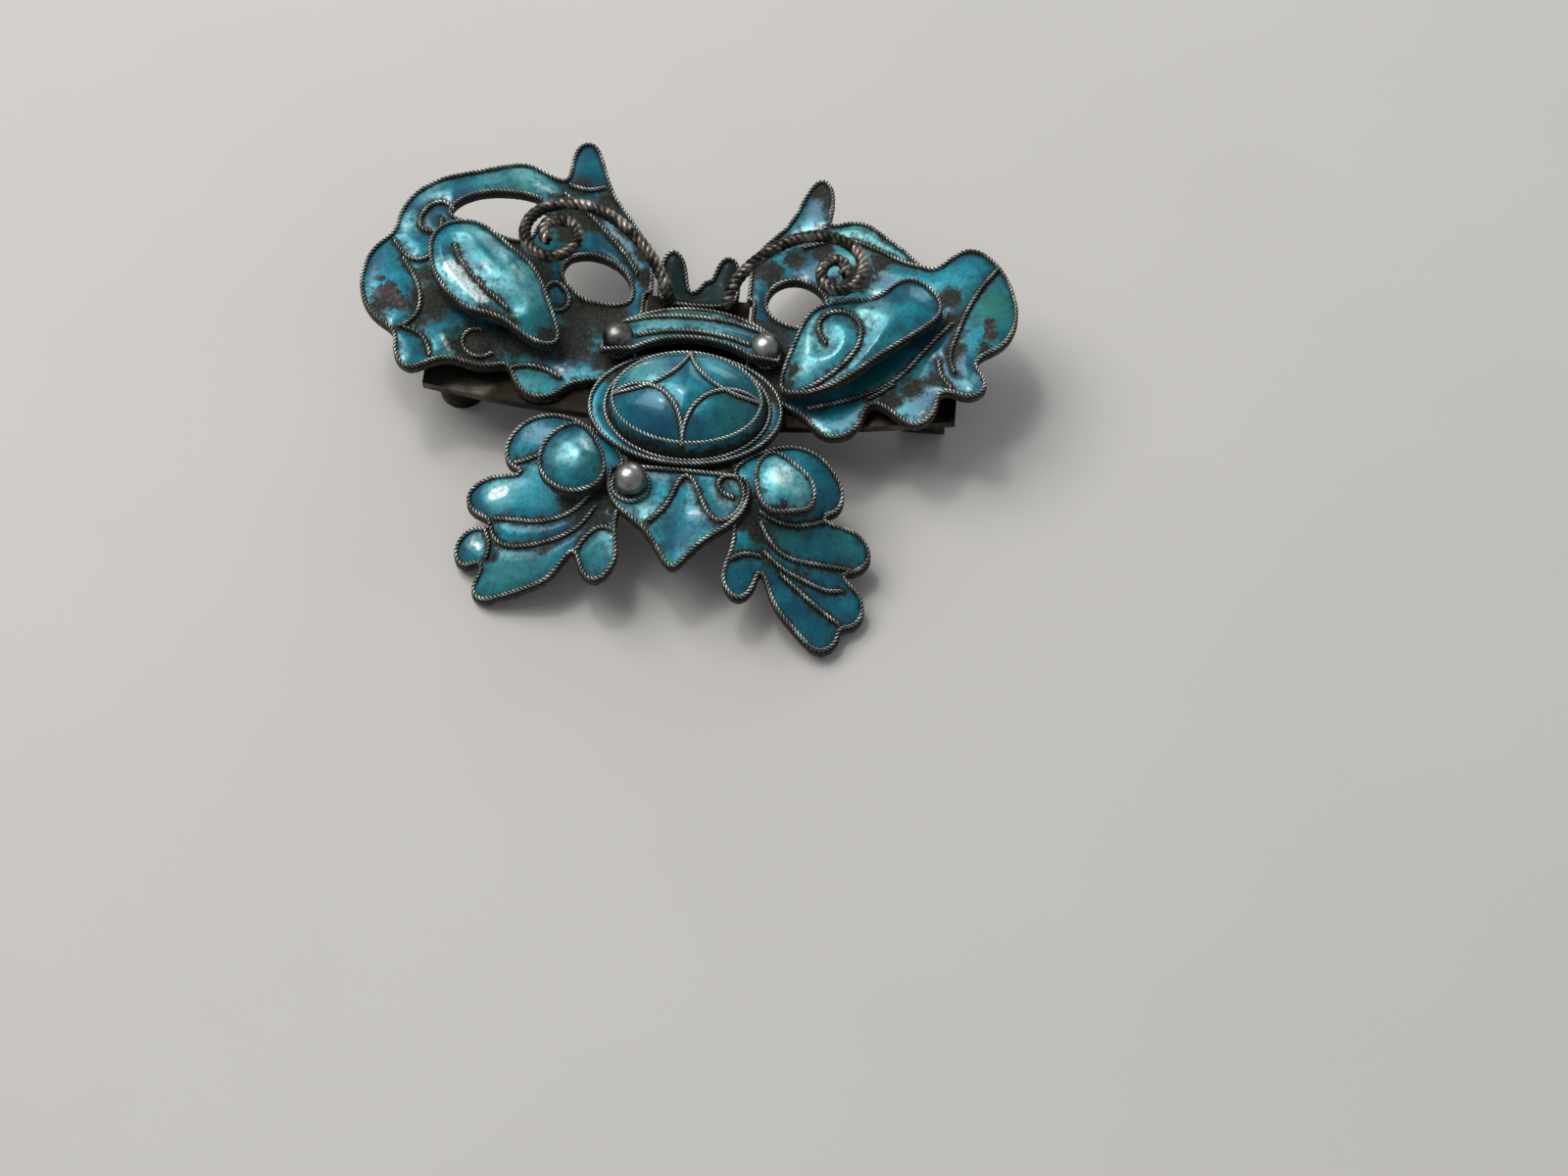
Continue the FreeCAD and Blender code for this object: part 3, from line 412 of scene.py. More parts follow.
# ------------------------------------------------------------------ materials
class Recipe:
    """A material's node tree while it is being made."""

    def __init__(self, name: str) -> None:
        """Starts an empty tree with an output."""
        self.material = bpy.data.materials.new(name)
        self.material.use_nodes = True
        self.tree = self.material.node_tree
        self.tree.nodes.clear()
        self.output = self.tree.nodes.new("ShaderNodeOutputMaterial")
        self.place = self.add("ShaderNodeTexCoord").outputs["Object"]

    def add(self, kind: str, **values: object) -> bpy.types.Node:
        """A new node.

        Args:
            kind: the name of the node's type.
            values: properties of the node, set as they are.

        Returns:
            The node.
        """
        node = self.tree.nodes.new(kind)
        for key, value in values.items():
            setattr(node, key, value)
        return node

    def feed(self, socket: bpy.types.NodeSocket, value: object) -> None:
        """Links a socket to another, or sets its value."""
        if isinstance(value, bpy.types.NodeSocket):
            self.tree.links.new(value, socket)
        elif isinstance(value, tuple) and len(value) == 3 and socket.type == "RGBA":
            socket.default_value = (*value, 1.0)
        else:
            socket.default_value = value

    def noise(self, scale: float, detail: float = 3.0, roughness: float = 0.55,
              stretch: Tuple[float, float, float] = (1, 1, 1)) -> bpy.types.NodeSocket:
        """Cloudy variation on object coordinates.

        Args:
            scale: patches per metre.
            detail: how many finer layers it has.
            roughness: how strong the finer layers are.
            stretch: scale of each axis.

        Returns:
            The factor's socket.
        """
        mapping = self.add("ShaderNodeMapping")
        mapping.inputs["Scale"].default_value = stretch
        self.feed(mapping.inputs["Vector"], self.place)
        node = self.add("ShaderNodeTexNoise")
        self.feed(node.inputs["Vector"], mapping.outputs["Vector"])
        node.inputs["Scale"].default_value = scale
        node.inputs["Detail"].default_value = detail
        node.inputs["Roughness"].default_value = roughness
        return node.outputs["Fac"]

    def attribute(self, name: str) -> bpy.types.NodeSocket:
        """The factor of a named mesh attribute."""
        return self.add("ShaderNodeAttribute", attribute_name=name).outputs["Fac"]

    def math(self, way: str, a: object, b: object = 0.0, clamp: bool = False) -> bpy.types.NodeSocket:
        """The result of a sum on two numbers or sockets."""
        node = self.add("ShaderNodeMath", operation=way, use_clamp=clamp)
        self.feed(node.inputs[0], a)
        self.feed(node.inputs[1], b)
        return node.outputs[0]

    def band(self, value: object, low: float, high: float,
             to_low: float = 0.0, to_high: float = 1.0) -> bpy.types.NodeSocket:
        """A number's place between two limits, eased, as a number between two others."""
        node = self.add("ShaderNodeMapRange", interpolation_type="SMOOTHSTEP")
        for socket, given in zip(node.inputs, (value, low, high, to_low, to_high)):
            self.feed(socket, given)
        return node.outputs[0]

    def blend(self, share: object, first: object, second: object) -> bpy.types.NodeSocket:
        """A colour between two colours."""
        node = self.add("ShaderNodeMix", data_type="RGBA")
        self.feed(node.inputs["Factor"], share)
        self.feed(node.inputs[6], first)
        self.feed(node.inputs[7], second)
        return node.outputs[2]

    def bump(self, height: object, depth: float, strength: object = 1.0,
             under: Optional[bpy.types.NodeSocket] = None) -> bpy.types.NodeSocket:
        """A normal from a height pattern of a depth in millimetres."""
        node = self.add("ShaderNodeBump")
        self.feed(node.inputs["Strength"], strength)
        node.inputs["Distance"].default_value = depth * MM
        self.feed(node.inputs["Height"], height)
        if under is not None:
            self.feed(node.inputs["Normal"], under)
        return node.outputs["Normal"]

    def finish(self, colour: object, roughness: object, metal: object, normal: object,
               coat: object = 0.0, coat_roughness: float = 0.05, gloss: float = 0.5) -> bpy.types.Material:
        """Closes the tree with the surface shader.

        Args:
            colour: base colour.
            roughness: a number or socket.
            metal: a number or socket.
            normal: a normal's socket.
            coat: weight of the clear layer, a number or socket.
            coat_roughness: roughness of the clear layer.
            gloss: specular level of the surface.

        Returns:
            The finished material.
        """
        shader = self.add("ShaderNodeBsdfPrincipled")
        self.feed(shader.inputs["Base Color"], colour)
        self.feed(shader.inputs["Roughness"], roughness)
        self.feed(shader.inputs["Metallic"], metal)
        self.feed(shader.inputs["Normal"], normal)
        self.feed(shader.inputs["Coat Weight"], coat)
        shader.inputs["Coat Roughness"].default_value = coat_roughness
        shader.inputs["Coat IOR"].default_value = 1.55
        shader.inputs["Specular IOR Level"].default_value = gloss
        self.tree.links.new(shader.outputs[0], self.output.inputs["Surface"])
        return self.material


@dataclass(frozen=True)
class EnamelFinish:
    """Glossy translucent enamel over bright silver, dirty beside the wires and worn in places, with painted
    highlights and painted shade at marked places.
    """

    name: str = "enamel"
    deep: Colour = (0.002, 0.084, 0.142)
    bright: Colour = (0.006, 0.305, 0.385)
    green: Colour = (0.024, 0.205, 0.165)
    pale: Colour = (0.220, 0.640, 0.660)
    highlight_white: Colour = (0.780, 0.930, 0.930)
    soot: Colour = (0.006, 0.008, 0.005)
    mud: Colour = (0.030, 0.036, 0.022)
    bare: Colour = (0.022, 0.015, 0.012)
    glint: Colour = (0.12, 0.095, 0.085)
    shine: float = 0.34
    metal: float = 0.38
    clear: float = 0.35
    gloss: float = 0.35

    def glass(self, r: Recipe) -> bpy.types.NodeSocket:
        """The clean enamel's colour, from deep to bright with green and pale places, painted shade at the
        deep marks and a painted near-white highlight where the pale marks are strongest.
        """
        clouds = r.band(r.noise(420, 4.0, 0.6), 0.36, 0.64)
        colour = r.blend(clouds, self.deep, self.bright)
        leaning = r.math("ADD", r.attribute("green"),
                         r.band(r.noise(260, 3.0), 0.55, 0.75, 0.0, 0.25), True)
        colour = r.blend(leaning, colour, self.green)
        blotches = r.band(r.noise(1500, 4.0, 0.6), 0.42, 0.72, 0.0, 0.55)
        # deep enamel blotches, and painted shade where the deep marks are
        colour = r.blend(r.math("MAXIMUM", blotches, r.attribute("deep")), colour, self.deep)
        # pale foil, and painted sheen where the pale marks are
        light = r.math("MULTIPLY", r.attribute("pale"), r.band(r.noise(1500, 3.0), 0.25, 0.60), True)
        colour = r.blend(light, colour, self.pale)
        # painted highlight: near white where the pale marks are strongest
        colour = r.blend(r.band(r.attribute("pale"), 0.85, 1.15), colour, self.highlight_white)
        colour = r.blend(r.band(r.noise(5200, 2.0, 0.7), 0.40, 0.75, 0.0, 0.45), colour, self.deep)
        return r.blend(r.band(r.noise(6800, 1.0), 0.68, 0.74, 0.0, 0.8), colour, self.soot)

    def make(self) -> bpy.types.Material:
        """Builds the enamel.

        Returns:
            The material, which reads the sheet's attributes.
        """
        r = Recipe(self.name)
        ragged = r.band(r.noise(2300, 7.0, 0.78), 0.28, 0.72, -0.40, 0.32)
        soil = r.band(r.math("ADD", r.attribute("grime"), ragged), 0.16, 0.82)
        earth = r.blend(r.band(r.noise(5200, 5.0, 0.75), 0.46, 0.62), self.soot, self.mud)
        colour = r.blend(soil, self.glass(r), earth)
        chipped = r.math("ADD", r.attribute("worn"),
                         r.band(r.noise(2300, 5.0, 0.75), 0.2, 0.8, -0.34, 0.34))
        lost = r.band(chipped, 0.42, 0.58)
        metal_colour = r.blend(r.band(r.noise(3600, 3.0), 0.45, 0.75), self.bare, self.glint)
        colour = r.blend(lost, colour, metal_colour)
        clean = r.math("SUBTRACT", 1.0, soil)
        rough = r.math("ADD", r.band(r.noise(800, 3.0), 0.3, 0.7, self.shine - 0.06, self.shine + 0.10),
                       r.math("MULTIPLY", soil, 0.30))
        rough = r.math("MAXIMUM", rough, r.math("MULTIPLY", lost, 0.50))
        hammered = r.bump(r.noise(1500, 2.0, 0.5), 0.045, 0.5)
        pitted = r.bump(lost, -0.06, 0.8, hammered)
        crusty = r.bump(r.noise(4600, 5.0, 0.75), 0.045, soil, pitted)
        return r.finish(colour, rough, r.math("MULTIPLY", clean, self.metal), crusty,
                        coat=r.math("MULTIPLY", clean, self.clear), coat_roughness=0.10, gloss=self.gloss)


@dataclass(frozen=True)
class WireFinish:
    """Twisted silver strands, bright on their crests and black in the grooves."""

    name: str = "twisted_wire"
    crest: Colour = (0.74, 0.76, 0.70)
    warm: Colour = (0.20, 0.16, 0.12)
    groove: Colour = (0.006, 0.007, 0.005)
    rust: float = 0.5
    dark: float = 0.68

    def make(self) -> bpy.types.Material:
        """Builds the wire's silver, which reads the strand attribute."""
        r = Recipe(self.name)
        patches = r.noise(360, 4.0, 0.6)
        silver = r.blend(r.band(patches, 0.40, 0.65, 0.0, self.rust), self.crest, self.warm)
        dirt = r.band(r.noise(900, 5.0, 0.65), 0.38, 0.56, 0.0, self.dark)
        silver = r.blend(dirt, silver, self.groove)
        rise = r.band(r.attribute("rise"), 0.55, 0.98)
        colour = r.blend(rise, self.groove, silver)
        rough = r.band(r.noise(2600, 3.0), 0.3, 0.7, 0.28, 0.55)
        normal = r.bump(r.noise(6200, 3.0), 0.012, 0.6)
        return r.finish(colour, rough, 0.85, normal)


@dataclass(frozen=True)
class SilverFinish:
    """Old silver that was filed flat, with scratches, tarnish and darker corners."""

    name: str = "old_silver"
    clean: Colour = (0.16, 0.14, 0.115)
    tarnish: Colour = (0.016, 0.013, 0.009)
    amount: float = 0.85

    def make(self) -> bpy.types.Material:
        """Old silver that was filed flat, with scratches and tarnish."""
        r = Recipe(self.name)
        cloud = r.band(r.noise(330, 5.0, 0.62), 0.62 - self.amount / 2, 0.80 - self.amount / 3)
        speck = r.band(r.noise(2400, 3.0, 0.7), 0.55, 0.75, 0.0, 0.7)
        shade = r.math("MAXIMUM", cloud, speck)
        colour = r.blend(shade, self.clean, self.tarnish)
        scratch = r.noise(900, 3.0, 0.6, (1, 14, 6))
        rough = r.math("ADD", r.band(scratch, 0.3, 0.7, 0.20, 0.36), r.math("MULTIPLY", shade, 0.22))
        normal = r.bump(scratch, 0.010, 0.5)
        normal = r.bump(r.noise(1400, 4.0), 0.02, 0.5, normal)
        return r.finish(colour, rough, 0.95, normal)


@dataclass(frozen=True)
class FloorFinish:
    """A plain pale matt table."""

    name: str = "pale_table"
    colour: Colour = (0.62, 0.60, 0.57)

    def make(self) -> bpy.types.Material:
        """Builds the table's surface."""
        r = Recipe(self.name)
        colour = r.blend(r.band(r.noise(40, 3.0), 0.3, 0.7, 0.0, 0.2), self.colour, (0.55, 0.53, 0.50))
        return r.finish(colour, 0.85, 0.0, r.bump(r.noise(900, 2.0), 0.02, 0.2), gloss=0.2)


@dataclass
class Finishes:
    """Every material of the hair pin, made once."""

    enamel: bpy.types.Material = field(init=False)
    sooty_enamel: bpy.types.Material = field(init=False)
    wire: bpy.types.Material = field(init=False)
    fine_wire: bpy.types.Material = field(init=False)
    antenna: bpy.types.Material = field(init=False)
    silver: bpy.types.Material = field(init=False)
    bead: bpy.types.Material = field(init=False)

    def __post_init__(self) -> None:
        """Makes them."""
        self.enamel = EnamelFinish().make()
        self.sooty_enamel = EnamelFinish(name="sooty_enamel", bright=(0.006, 0.045, 0.050),
                                         deep=(0.003, 0.010, 0.012), green=(0.010, 0.016, 0.008),
                                         metal=0.0, shine=0.55, clear=0.05, gloss=0.15).make()
        self.wire = WireFinish().make()
        self.fine_wire = WireFinish(name="body_wire", crest=(0.84, 0.90, 0.86), rust=0.2, dark=0.40).make()
        self.antenna = WireFinish(name="antenna_wire", crest=(0.46, 0.41, 0.36),
                                  warm=(0.17, 0.135, 0.105), rust=0.9, dark=0.92).make()
        self.silver = SilverFinish().make()
        self.bead = SilverFinish(name="bead_silver", clean=(0.52, 0.52, 0.50), amount=0.62).make()


# --------------------------------------------------------------------- makers
def new_object(name: str, verts: Sequence, faces: Sequence) -> bpy.types.Object:
    """An object at the origin from points in millimetres.

    Args:
        name: the object's name.
        verts: places in millimetres.
        faces: lists of vertex numbers.

    Returns:
        The object, smooth and linked to the scene.
    """
    mesh = bpy.data.meshes.new(name)
    mesh.from_pydata([tuple(float(c) * MM for c in v) for v in verts], [], [list(f) for f in faces])
    mesh.polygons.foreach_set("use_smooth", [True] * len(mesh.polygons))
    mesh.update()
    thing = bpy.data.objects.new(name, mesh)
    bpy.context.scene.collection.objects.link(thing)
    return thing


@dataclass
class Relief:
    """How the enamel swells between the wires of a sheet."""

    pillow: float = 0.20       # height in the middle of a wide cell
    spread: float = 0.9        # distance over which it rises
    dirt: float = 0.32         # width of the dirty seam beside a wire
    wash: float = 0.42         # strength of the wider stain round it
    grid: float = 0.16         # distance between mesh points
    thickness: float = 0.40
    slope: float = 1.6         # how flat the cell's middle is


@dataclass
class EnamelSheet:
    """A sheet of silver with enamel cells between wires, as one closed shell."""

    CLOSE = 0.45               # steps; nearer to a rim or a wire's line no grid point is kept
    WIRE_SAMPLES = 0.06        # between the places that stand for a wire
    SPOT_EDGE = 1.25           # radii; where a spot ends

    name: str
    loops: List[np.ndarray]
    height: Heights
    lines: List[np.ndarray] = field(default_factory=list)
    relief: Relief = field(default_factory=Relief)
    marks: Marks = field(default_factory=dict)

    def points(self) -> Tuple[np.ndarray, int]:
        """Places of the mesh in plan.

        Returns:
            The places, with the rims' own first, and how many belong to the rims.
        """
        rims = np.vstack(self.loops)
        step = self.relief.grid
        low, high = rims.min(0) - step, rims.max(0) + step
        xs = np.arange(low[0], high[0], step)
        ys = np.arange(low[1], high[1], step * math.sqrt(0.75))
        gx, gy = np.meshgrid(xs, ys)
        gx[1::2] += step / 2
        grid = np.stack([gx.ravel(), gy.ravel()], 1)
        grid = grid[inside(grid, self.loops)]
        grid = grid[distance_to(grid, rims) > self.CLOSE * step]
        on_lines = [evenly(line, step * 0.7, False) for line in self.lines]
        if on_lines:
            extra = np.vstack(on_lines)
            extra = extra[inside(extra, self.loops)]
            extra = extra[distance_to(extra, rims) > 0.5 * step]
            if len(extra):
                grid = np.vstack([extra, grid[distance_to(grid, extra) > self.CLOSE * step]])
        return np.vstack([rims, grid]), len(rims)

    def triangles(self, points: np.ndarray) -> List[Tuple[int, int, int]]:
        """Triangles of the upper face, counter-clockwise, without those in windows."""
        edges, start = [], 0
        for loop in self.loops:
            n = len(loop)
            edges += [(start + k, start + (k + 1) % n) for k in range(n)]
            start += n
        found = delaunay_2d_cdt([Vector(p) for p in points], edges, [], 0, 1e-7, True)
        origin = [o[0] if o else -1 for o in found[3]]
        faces = [[origin[i] for i in f] for f in found[2]]
        faces = [f for f in faces if min(f) >= 0 and len(set(f)) == 3]
        middles = np.array([points[f].mean(0) for f in faces])
        kept = inside(middles, self.loops)
        made = []
        for f, keep in zip(faces, kept):
            a, b, c = points[f[0]], points[f[1]], points[f[2]]
            turn = (b[0] - a[0]) * (c[1] - a[1]) - (b[1] - a[1]) * (c[0] - a[0])
            if keep and abs(turn) > 1e-9:
                made.append((f[0], f[1], f[2]) if turn > 0 else (f[0], f[2], f[1]))
        return made

    def paint(self, thing: bpy.types.Object, points: np.ndarray, seam: np.ndarray) -> None:
        """Stores what the enamel's material reads at each point of both faces.

        Args:
            thing: the sheet's object.
            points: places of the upper face in plan.
            seam: each place's distance to the nearest wire.
        """
        back = {Mark.GRIME: 0.9, Mark.WORN: 1.0}
        stain = self.relief.wash * np.exp(-(seam / (3 * self.relief.dirt)) ** 2)
        beside = np.maximum(np.exp(-(seam / self.relief.dirt) ** 2), stain)
        for mark in Mark:
            value = beside if mark is Mark.GRIME else np.zeros(len(points))
            for x, y, radius, strength in self.marks.get(mark, []):
                away = np.hypot(points[:, 0] - x, points[:, 1] - y) / radius
                value = np.maximum(value, strength * np.clip(self.SPOT_EDGE - away, 0, 1))
            layer = thing.data.attributes.new(mark.value, "FLOAT", "POINT")
            under = np.full(len(points), back.get(mark, 0.0))
            layer.data.foreach_set("value", np.concatenate([value, under]).astype(np.float32))

    def build(self, material: bpy.types.Material) -> bpy.types.Object:
        """Makes the shell.

        Args:
            material: the sheet's finish.

        Returns:
            The finished object.
        """
        points, rim_count = self.points()
        faces = self.triangles(points)
        wires = np.vstack(self.loops + [evenly(line, self.WIRE_SAMPLES, False) for line in self.lines])
        seam = distance_to(points, wires)
        swell = self.relief.pillow * (1 - np.exp(-(seam / self.relief.spread) ** self.relief.slope))
        base = self.height(points)
        upper = np.column_stack([points, base + swell])
        lower = np.column_stack([points, base - self.relief.thickness])
        count = len(points)
        shell = list(faces) + [(a + count, c + count, b + count) for a, b, c in faces]
        start = 0
        for loop in self.loops:
            n = len(loop)
            for k in range(n):
                a, b = start + k, start + (k + 1) % n
                shell.append((b, a, a + count, b + count))
            start += n
        thing = new_object(self.name, np.vstack([upper, lower]), shell)
        self.paint(thing, points, seam)
        thing.data.materials.append(material)
        sharpen(thing)
        return thing


def sharpen(thing: bpy.types.Object, angle: float = 50.0) -> None:
    """Keeps a mesh's corners sharper than an angle in degrees crisp in its smooth shading."""
    mesh = bmesh.new()
    mesh.from_mesh(thing.data)
    bmesh.ops.recalc_face_normals(mesh, faces=mesh.faces)
    for edge in mesh.edges:
        if len(edge.link_faces) == 2:
            edge.smooth = edge.calc_face_angle(0.0) < math.radians(angle)
    mesh.to_mesh(thing.data)
    mesh.free()


# ----------------------------------------------------------- twisted wire tree
class TwistTree:
    """Geometry Nodes that lay strands round each path and twist them together."""

    def __init__(self, strands: int) -> None:
        """Builds the tree once for all wires of a number of strands."""
        self.strands = strands
        self.tree = bpy.data.node_groups.new("twist_of_%d" % strands, "GeometryNodeTree")
        self.inputs: Dict[str, str] = {}
        face = self.tree.interface
        face.new_socket("Path", in_out="INPUT", socket_type="NodeSocketGeometry")
        for label, kind, value in (("Strand radius", "NodeSocketFloat", 0.0001),
                                   ("Pitch", "NodeSocketFloat", 0.0006),
                                   ("Step", "NodeSocketFloat", 0.00008),
                                   ("Sides", "NodeSocketInt", 6),
                                   ("Finish", "NodeSocketMaterial", None)):
            socket = face.new_socket(label, in_out="INPUT", socket_type=kind)
            if value is not None:
                socket.default_value = value
            self.inputs[label] = socket.identifier
        face.new_socket("Wire", in_out="OUTPUT", socket_type="NodeSocketGeometry")
        self.wire_up()

    def put(self, kind: str, **values: object) -> bpy.types.Node:
        """A new node with properties set."""
        node = self.tree.nodes.new(kind)
        for key, value in values.items():
            setattr(node, key, value)
        return node

    def join(self, source: bpy.types.NodeSocket, target: bpy.types.NodeSocket) -> None:
        """Links two sockets."""
        self.tree.links.new(source, target)

    def sum(self, way: str, a: object, b: object) -> bpy.types.NodeSocket:
        """A sum on two sockets or numbers."""
        node = self.put("ShaderNodeMath", operation=way)
        for socket, value in zip(node.inputs, (a, b)):
            if isinstance(value, bpy.types.NodeSocket):
                self.join(value, socket)
            else:
                socket.default_value = value
        return node.outputs[0]

    def scaled(self, vector: bpy.types.NodeSocket, by: bpy.types.NodeSocket) -> bpy.types.NodeSocket:
        """A vector times a number."""
        node = self.put("ShaderNodeVectorMath", operation="SCALE")
        self.join(vector, node.inputs[0])
        self.join(by, node.inputs["Scale"])
        return node.outputs[0]

    def wire_up(self) -> None:
        """Lays out the whole tree."""
        given = self.put("NodeGroupInput")
        end = self.put("NodeGroupOutput")
        even = self.put("GeometryNodeResampleCurve", mode="LENGTH")
        self.join(given.outputs["Path"], even.inputs["Curve"])
        self.join(given.outputs["Step"], even.inputs["Length"])
        keep = self.put("GeometryNodeCaptureAttribute", domain="POINT")
        keep.capture_items.new("VECTOR", "Middle")
        self.join(even.outputs["Curve"], keep.inputs["Geometry"])
        self.join(self.put("GeometryNodeInputPosition").outputs[0], keep.inputs["Middle"])
        tangent = self.put("GeometryNodeInputTangent").outputs[0]
        normal = self.put("GeometryNodeInputNormal").outputs["Normal"]
        across = self.put("ShaderNodeVectorMath", operation="CROSS_PRODUCT")
        self.join(tangent, across.inputs[0])
        self.join(normal, across.inputs[1])
        length = self.put("GeometryNodeSplineLength").outputs["Length"]
        turns = self.sum("ROUND", self.sum("DIVIDE", length, given.outputs["Pitch"]), 0.0)
        share = self.put("GeometryNodeSplineParameter").outputs["Factor"]
        turned = self.sum("MULTIPLY", self.sum("MULTIPLY", share, turns), 2 * math.pi)
        ring = self.put("GeometryNodeCurvePrimitiveCircle", mode="RADIUS")
        self.join(given.outputs["Sides"], ring.inputs["Resolution"])
        self.join(given.outputs["Strand radius"], ring.inputs["Radius"])
        both = self.put("GeometryNodeJoinGeometry")
        for k in range(self.strands):
            angle = self.sum("ADD", turned, 2 * math.pi * k / self.strands)
            side = self.scaled(normal, self.sum("COSINE", angle, 0.0))
            rise = self.scaled(across.outputs[0], self.sum("SINE", angle, 0.0))
            out = self.put("ShaderNodeVectorMath", operation="ADD")
            self.join(side, out.inputs[0])
            self.join(rise, out.inputs[1])
            shift = self.put("GeometryNodeSetPosition")
            self.join(keep.outputs["Geometry"], shift.inputs["Geometry"])
            self.join(self.scaled(out.outputs[0], given.outputs["Strand radius"]), shift.inputs["Offset"])
            tube = self.put("GeometryNodeCurveToMesh")
            self.join(shift.outputs["Geometry"], tube.inputs["Curve"])
            self.join(ring.outputs["Curve"], tube.inputs["Profile Curve"])
            tube.inputs["Fill Caps"].default_value = True
            self.join(tube.outputs["Mesh"], both.inputs[0])
        self.close(given, keep, both, end)

    def close(self, given: bpy.types.Node, keep: bpy.types.Node,
              both: bpy.types.Node, end: bpy.types.Node) -> None:
        """Marks each point's place on its strand, and gives the wires their finish.

        Args:
            given: the tree's input node.
            keep: the node that holds the path's own place.
            both: the node that joins the strands.
            end: the tree's output node.
        """
        gap = self.put("ShaderNodeVectorMath", operation="DISTANCE")
        self.join(self.put("GeometryNodeInputPosition").outputs[0], gap.inputs[0])
        self.join(keep.outputs["Middle"], gap.inputs[1])
        radius = self.sum("MULTIPLY", given.outputs["Strand radius"], 2.0)
        mark = self.put("GeometryNodeStoreNamedAttribute", data_type="FLOAT", domain="POINT")
        mark.inputs["Name"].default_value = "rise"
        self.join(both.outputs[0], mark.inputs["Geometry"])
        self.join(self.sum("DIVIDE", gap.outputs["Value"], radius), mark.inputs["Value"])
        smooth = self.put("GeometryNodeSetShadeSmooth")
        self.join(mark.outputs["Geometry"], smooth.inputs["Geometry"])
        solid = self.put("GeometryNodeRealizeInstances")
        self.join(smooth.outputs["Geometry"], solid.inputs["Geometry"])
        finish = self.put("GeometryNodeSetMaterial")
        self.join(solid.outputs["Geometry"], finish.inputs["Geometry"])
        self.join(given.outputs["Finish"], finish.inputs["Material"])
        self.join(finish.outputs["Geometry"], end.inputs[0])


@dataclass
class Wire:
    """Twisted wire of a gauge, laid along paths."""

    tree: TwistTree
    finish: bpy.types.Material
    strand: float = 0.055      # radius of one strand
    pitch: float = 0.44        # length of a full turn
    step: float = 0.055
    sides: int = 6

    @property
    def radius(self) -> float:
        """The twisted wire's own radius."""
        return 2 * self.strand

    def lay(self, name: str, paths: Sequence[Run]) -> bpy.types.Object:
        """Makes the wires of one piece.

        Args:
            name: the piece's name.
            paths: lines in space in millimetres, each with True if it is closed.

        Returns:
            The wires as one mesh object.
        """
        curve = bpy.data.curves.new(name + "_path", "CURVE")
        curve.dimensions = "3D"
        for line, closed in paths:
            spline = curve.splines.new("POLY")
            spline.points.add(len(line) - 1)
            for point, place in zip(spline.points, line):
                point.co = (*(float(c) * MM for c in place), 1.0)
            spline.use_cyclic_u = closed
        holder = bpy.data.objects.new(name + "_path", curve)
        bpy.context.scene.collection.objects.link(holder)
        maker = holder.modifiers.new("twist", "NODES")
        maker.node_group = self.tree.tree
        for label, value in (("Strand radius", self.strand * MM), ("Pitch", self.pitch * MM),
                             ("Step", self.step * MM), ("Sides", self.sides), ("Finish", self.finish)):
            maker[self.tree.inputs[label]] = value
        bpy.context.view_layer.update()
        graph = bpy.context.evaluated_depsgraph_get()
        mesh = bpy.data.meshes.new_from_object(holder.evaluated_get(graph), depsgraph=graph)
        bpy.data.objects.remove(holder)
        bpy.data.curves.remove(curve)
        mesh.name = name
        thing = bpy.data.objects.new(name, mesh)
        bpy.context.scene.collection.objects.link(thing)
        return thing

    def rims(self, loops: Sequence[np.ndarray], height: Heights, lift: float) -> List[Run]:
        """Closed paths just inside a sheet's rims.

        Args:
            loops: the sheet's rims, material on their left.
            height: the sheet's surface.
            lift: height of the wire's middle over it.

        Returns:
            Paths in space for lay.
        """
        made = []
        for loop in loops:
            line = evenly(inset(loop, self.radius), TWIST_STEP, True)
            made.append((np.column_stack([line, height(line) + lift]), True))
        return made

    def inner(self, lines: Sequence[np.ndarray], height: Heights, lift: float) -> List[Run]:
        """Open paths over a sheet's surface, with the same arguments as rims."""
        return [(np.column_stack([line, height(line) + lift]), False) for line in lines]


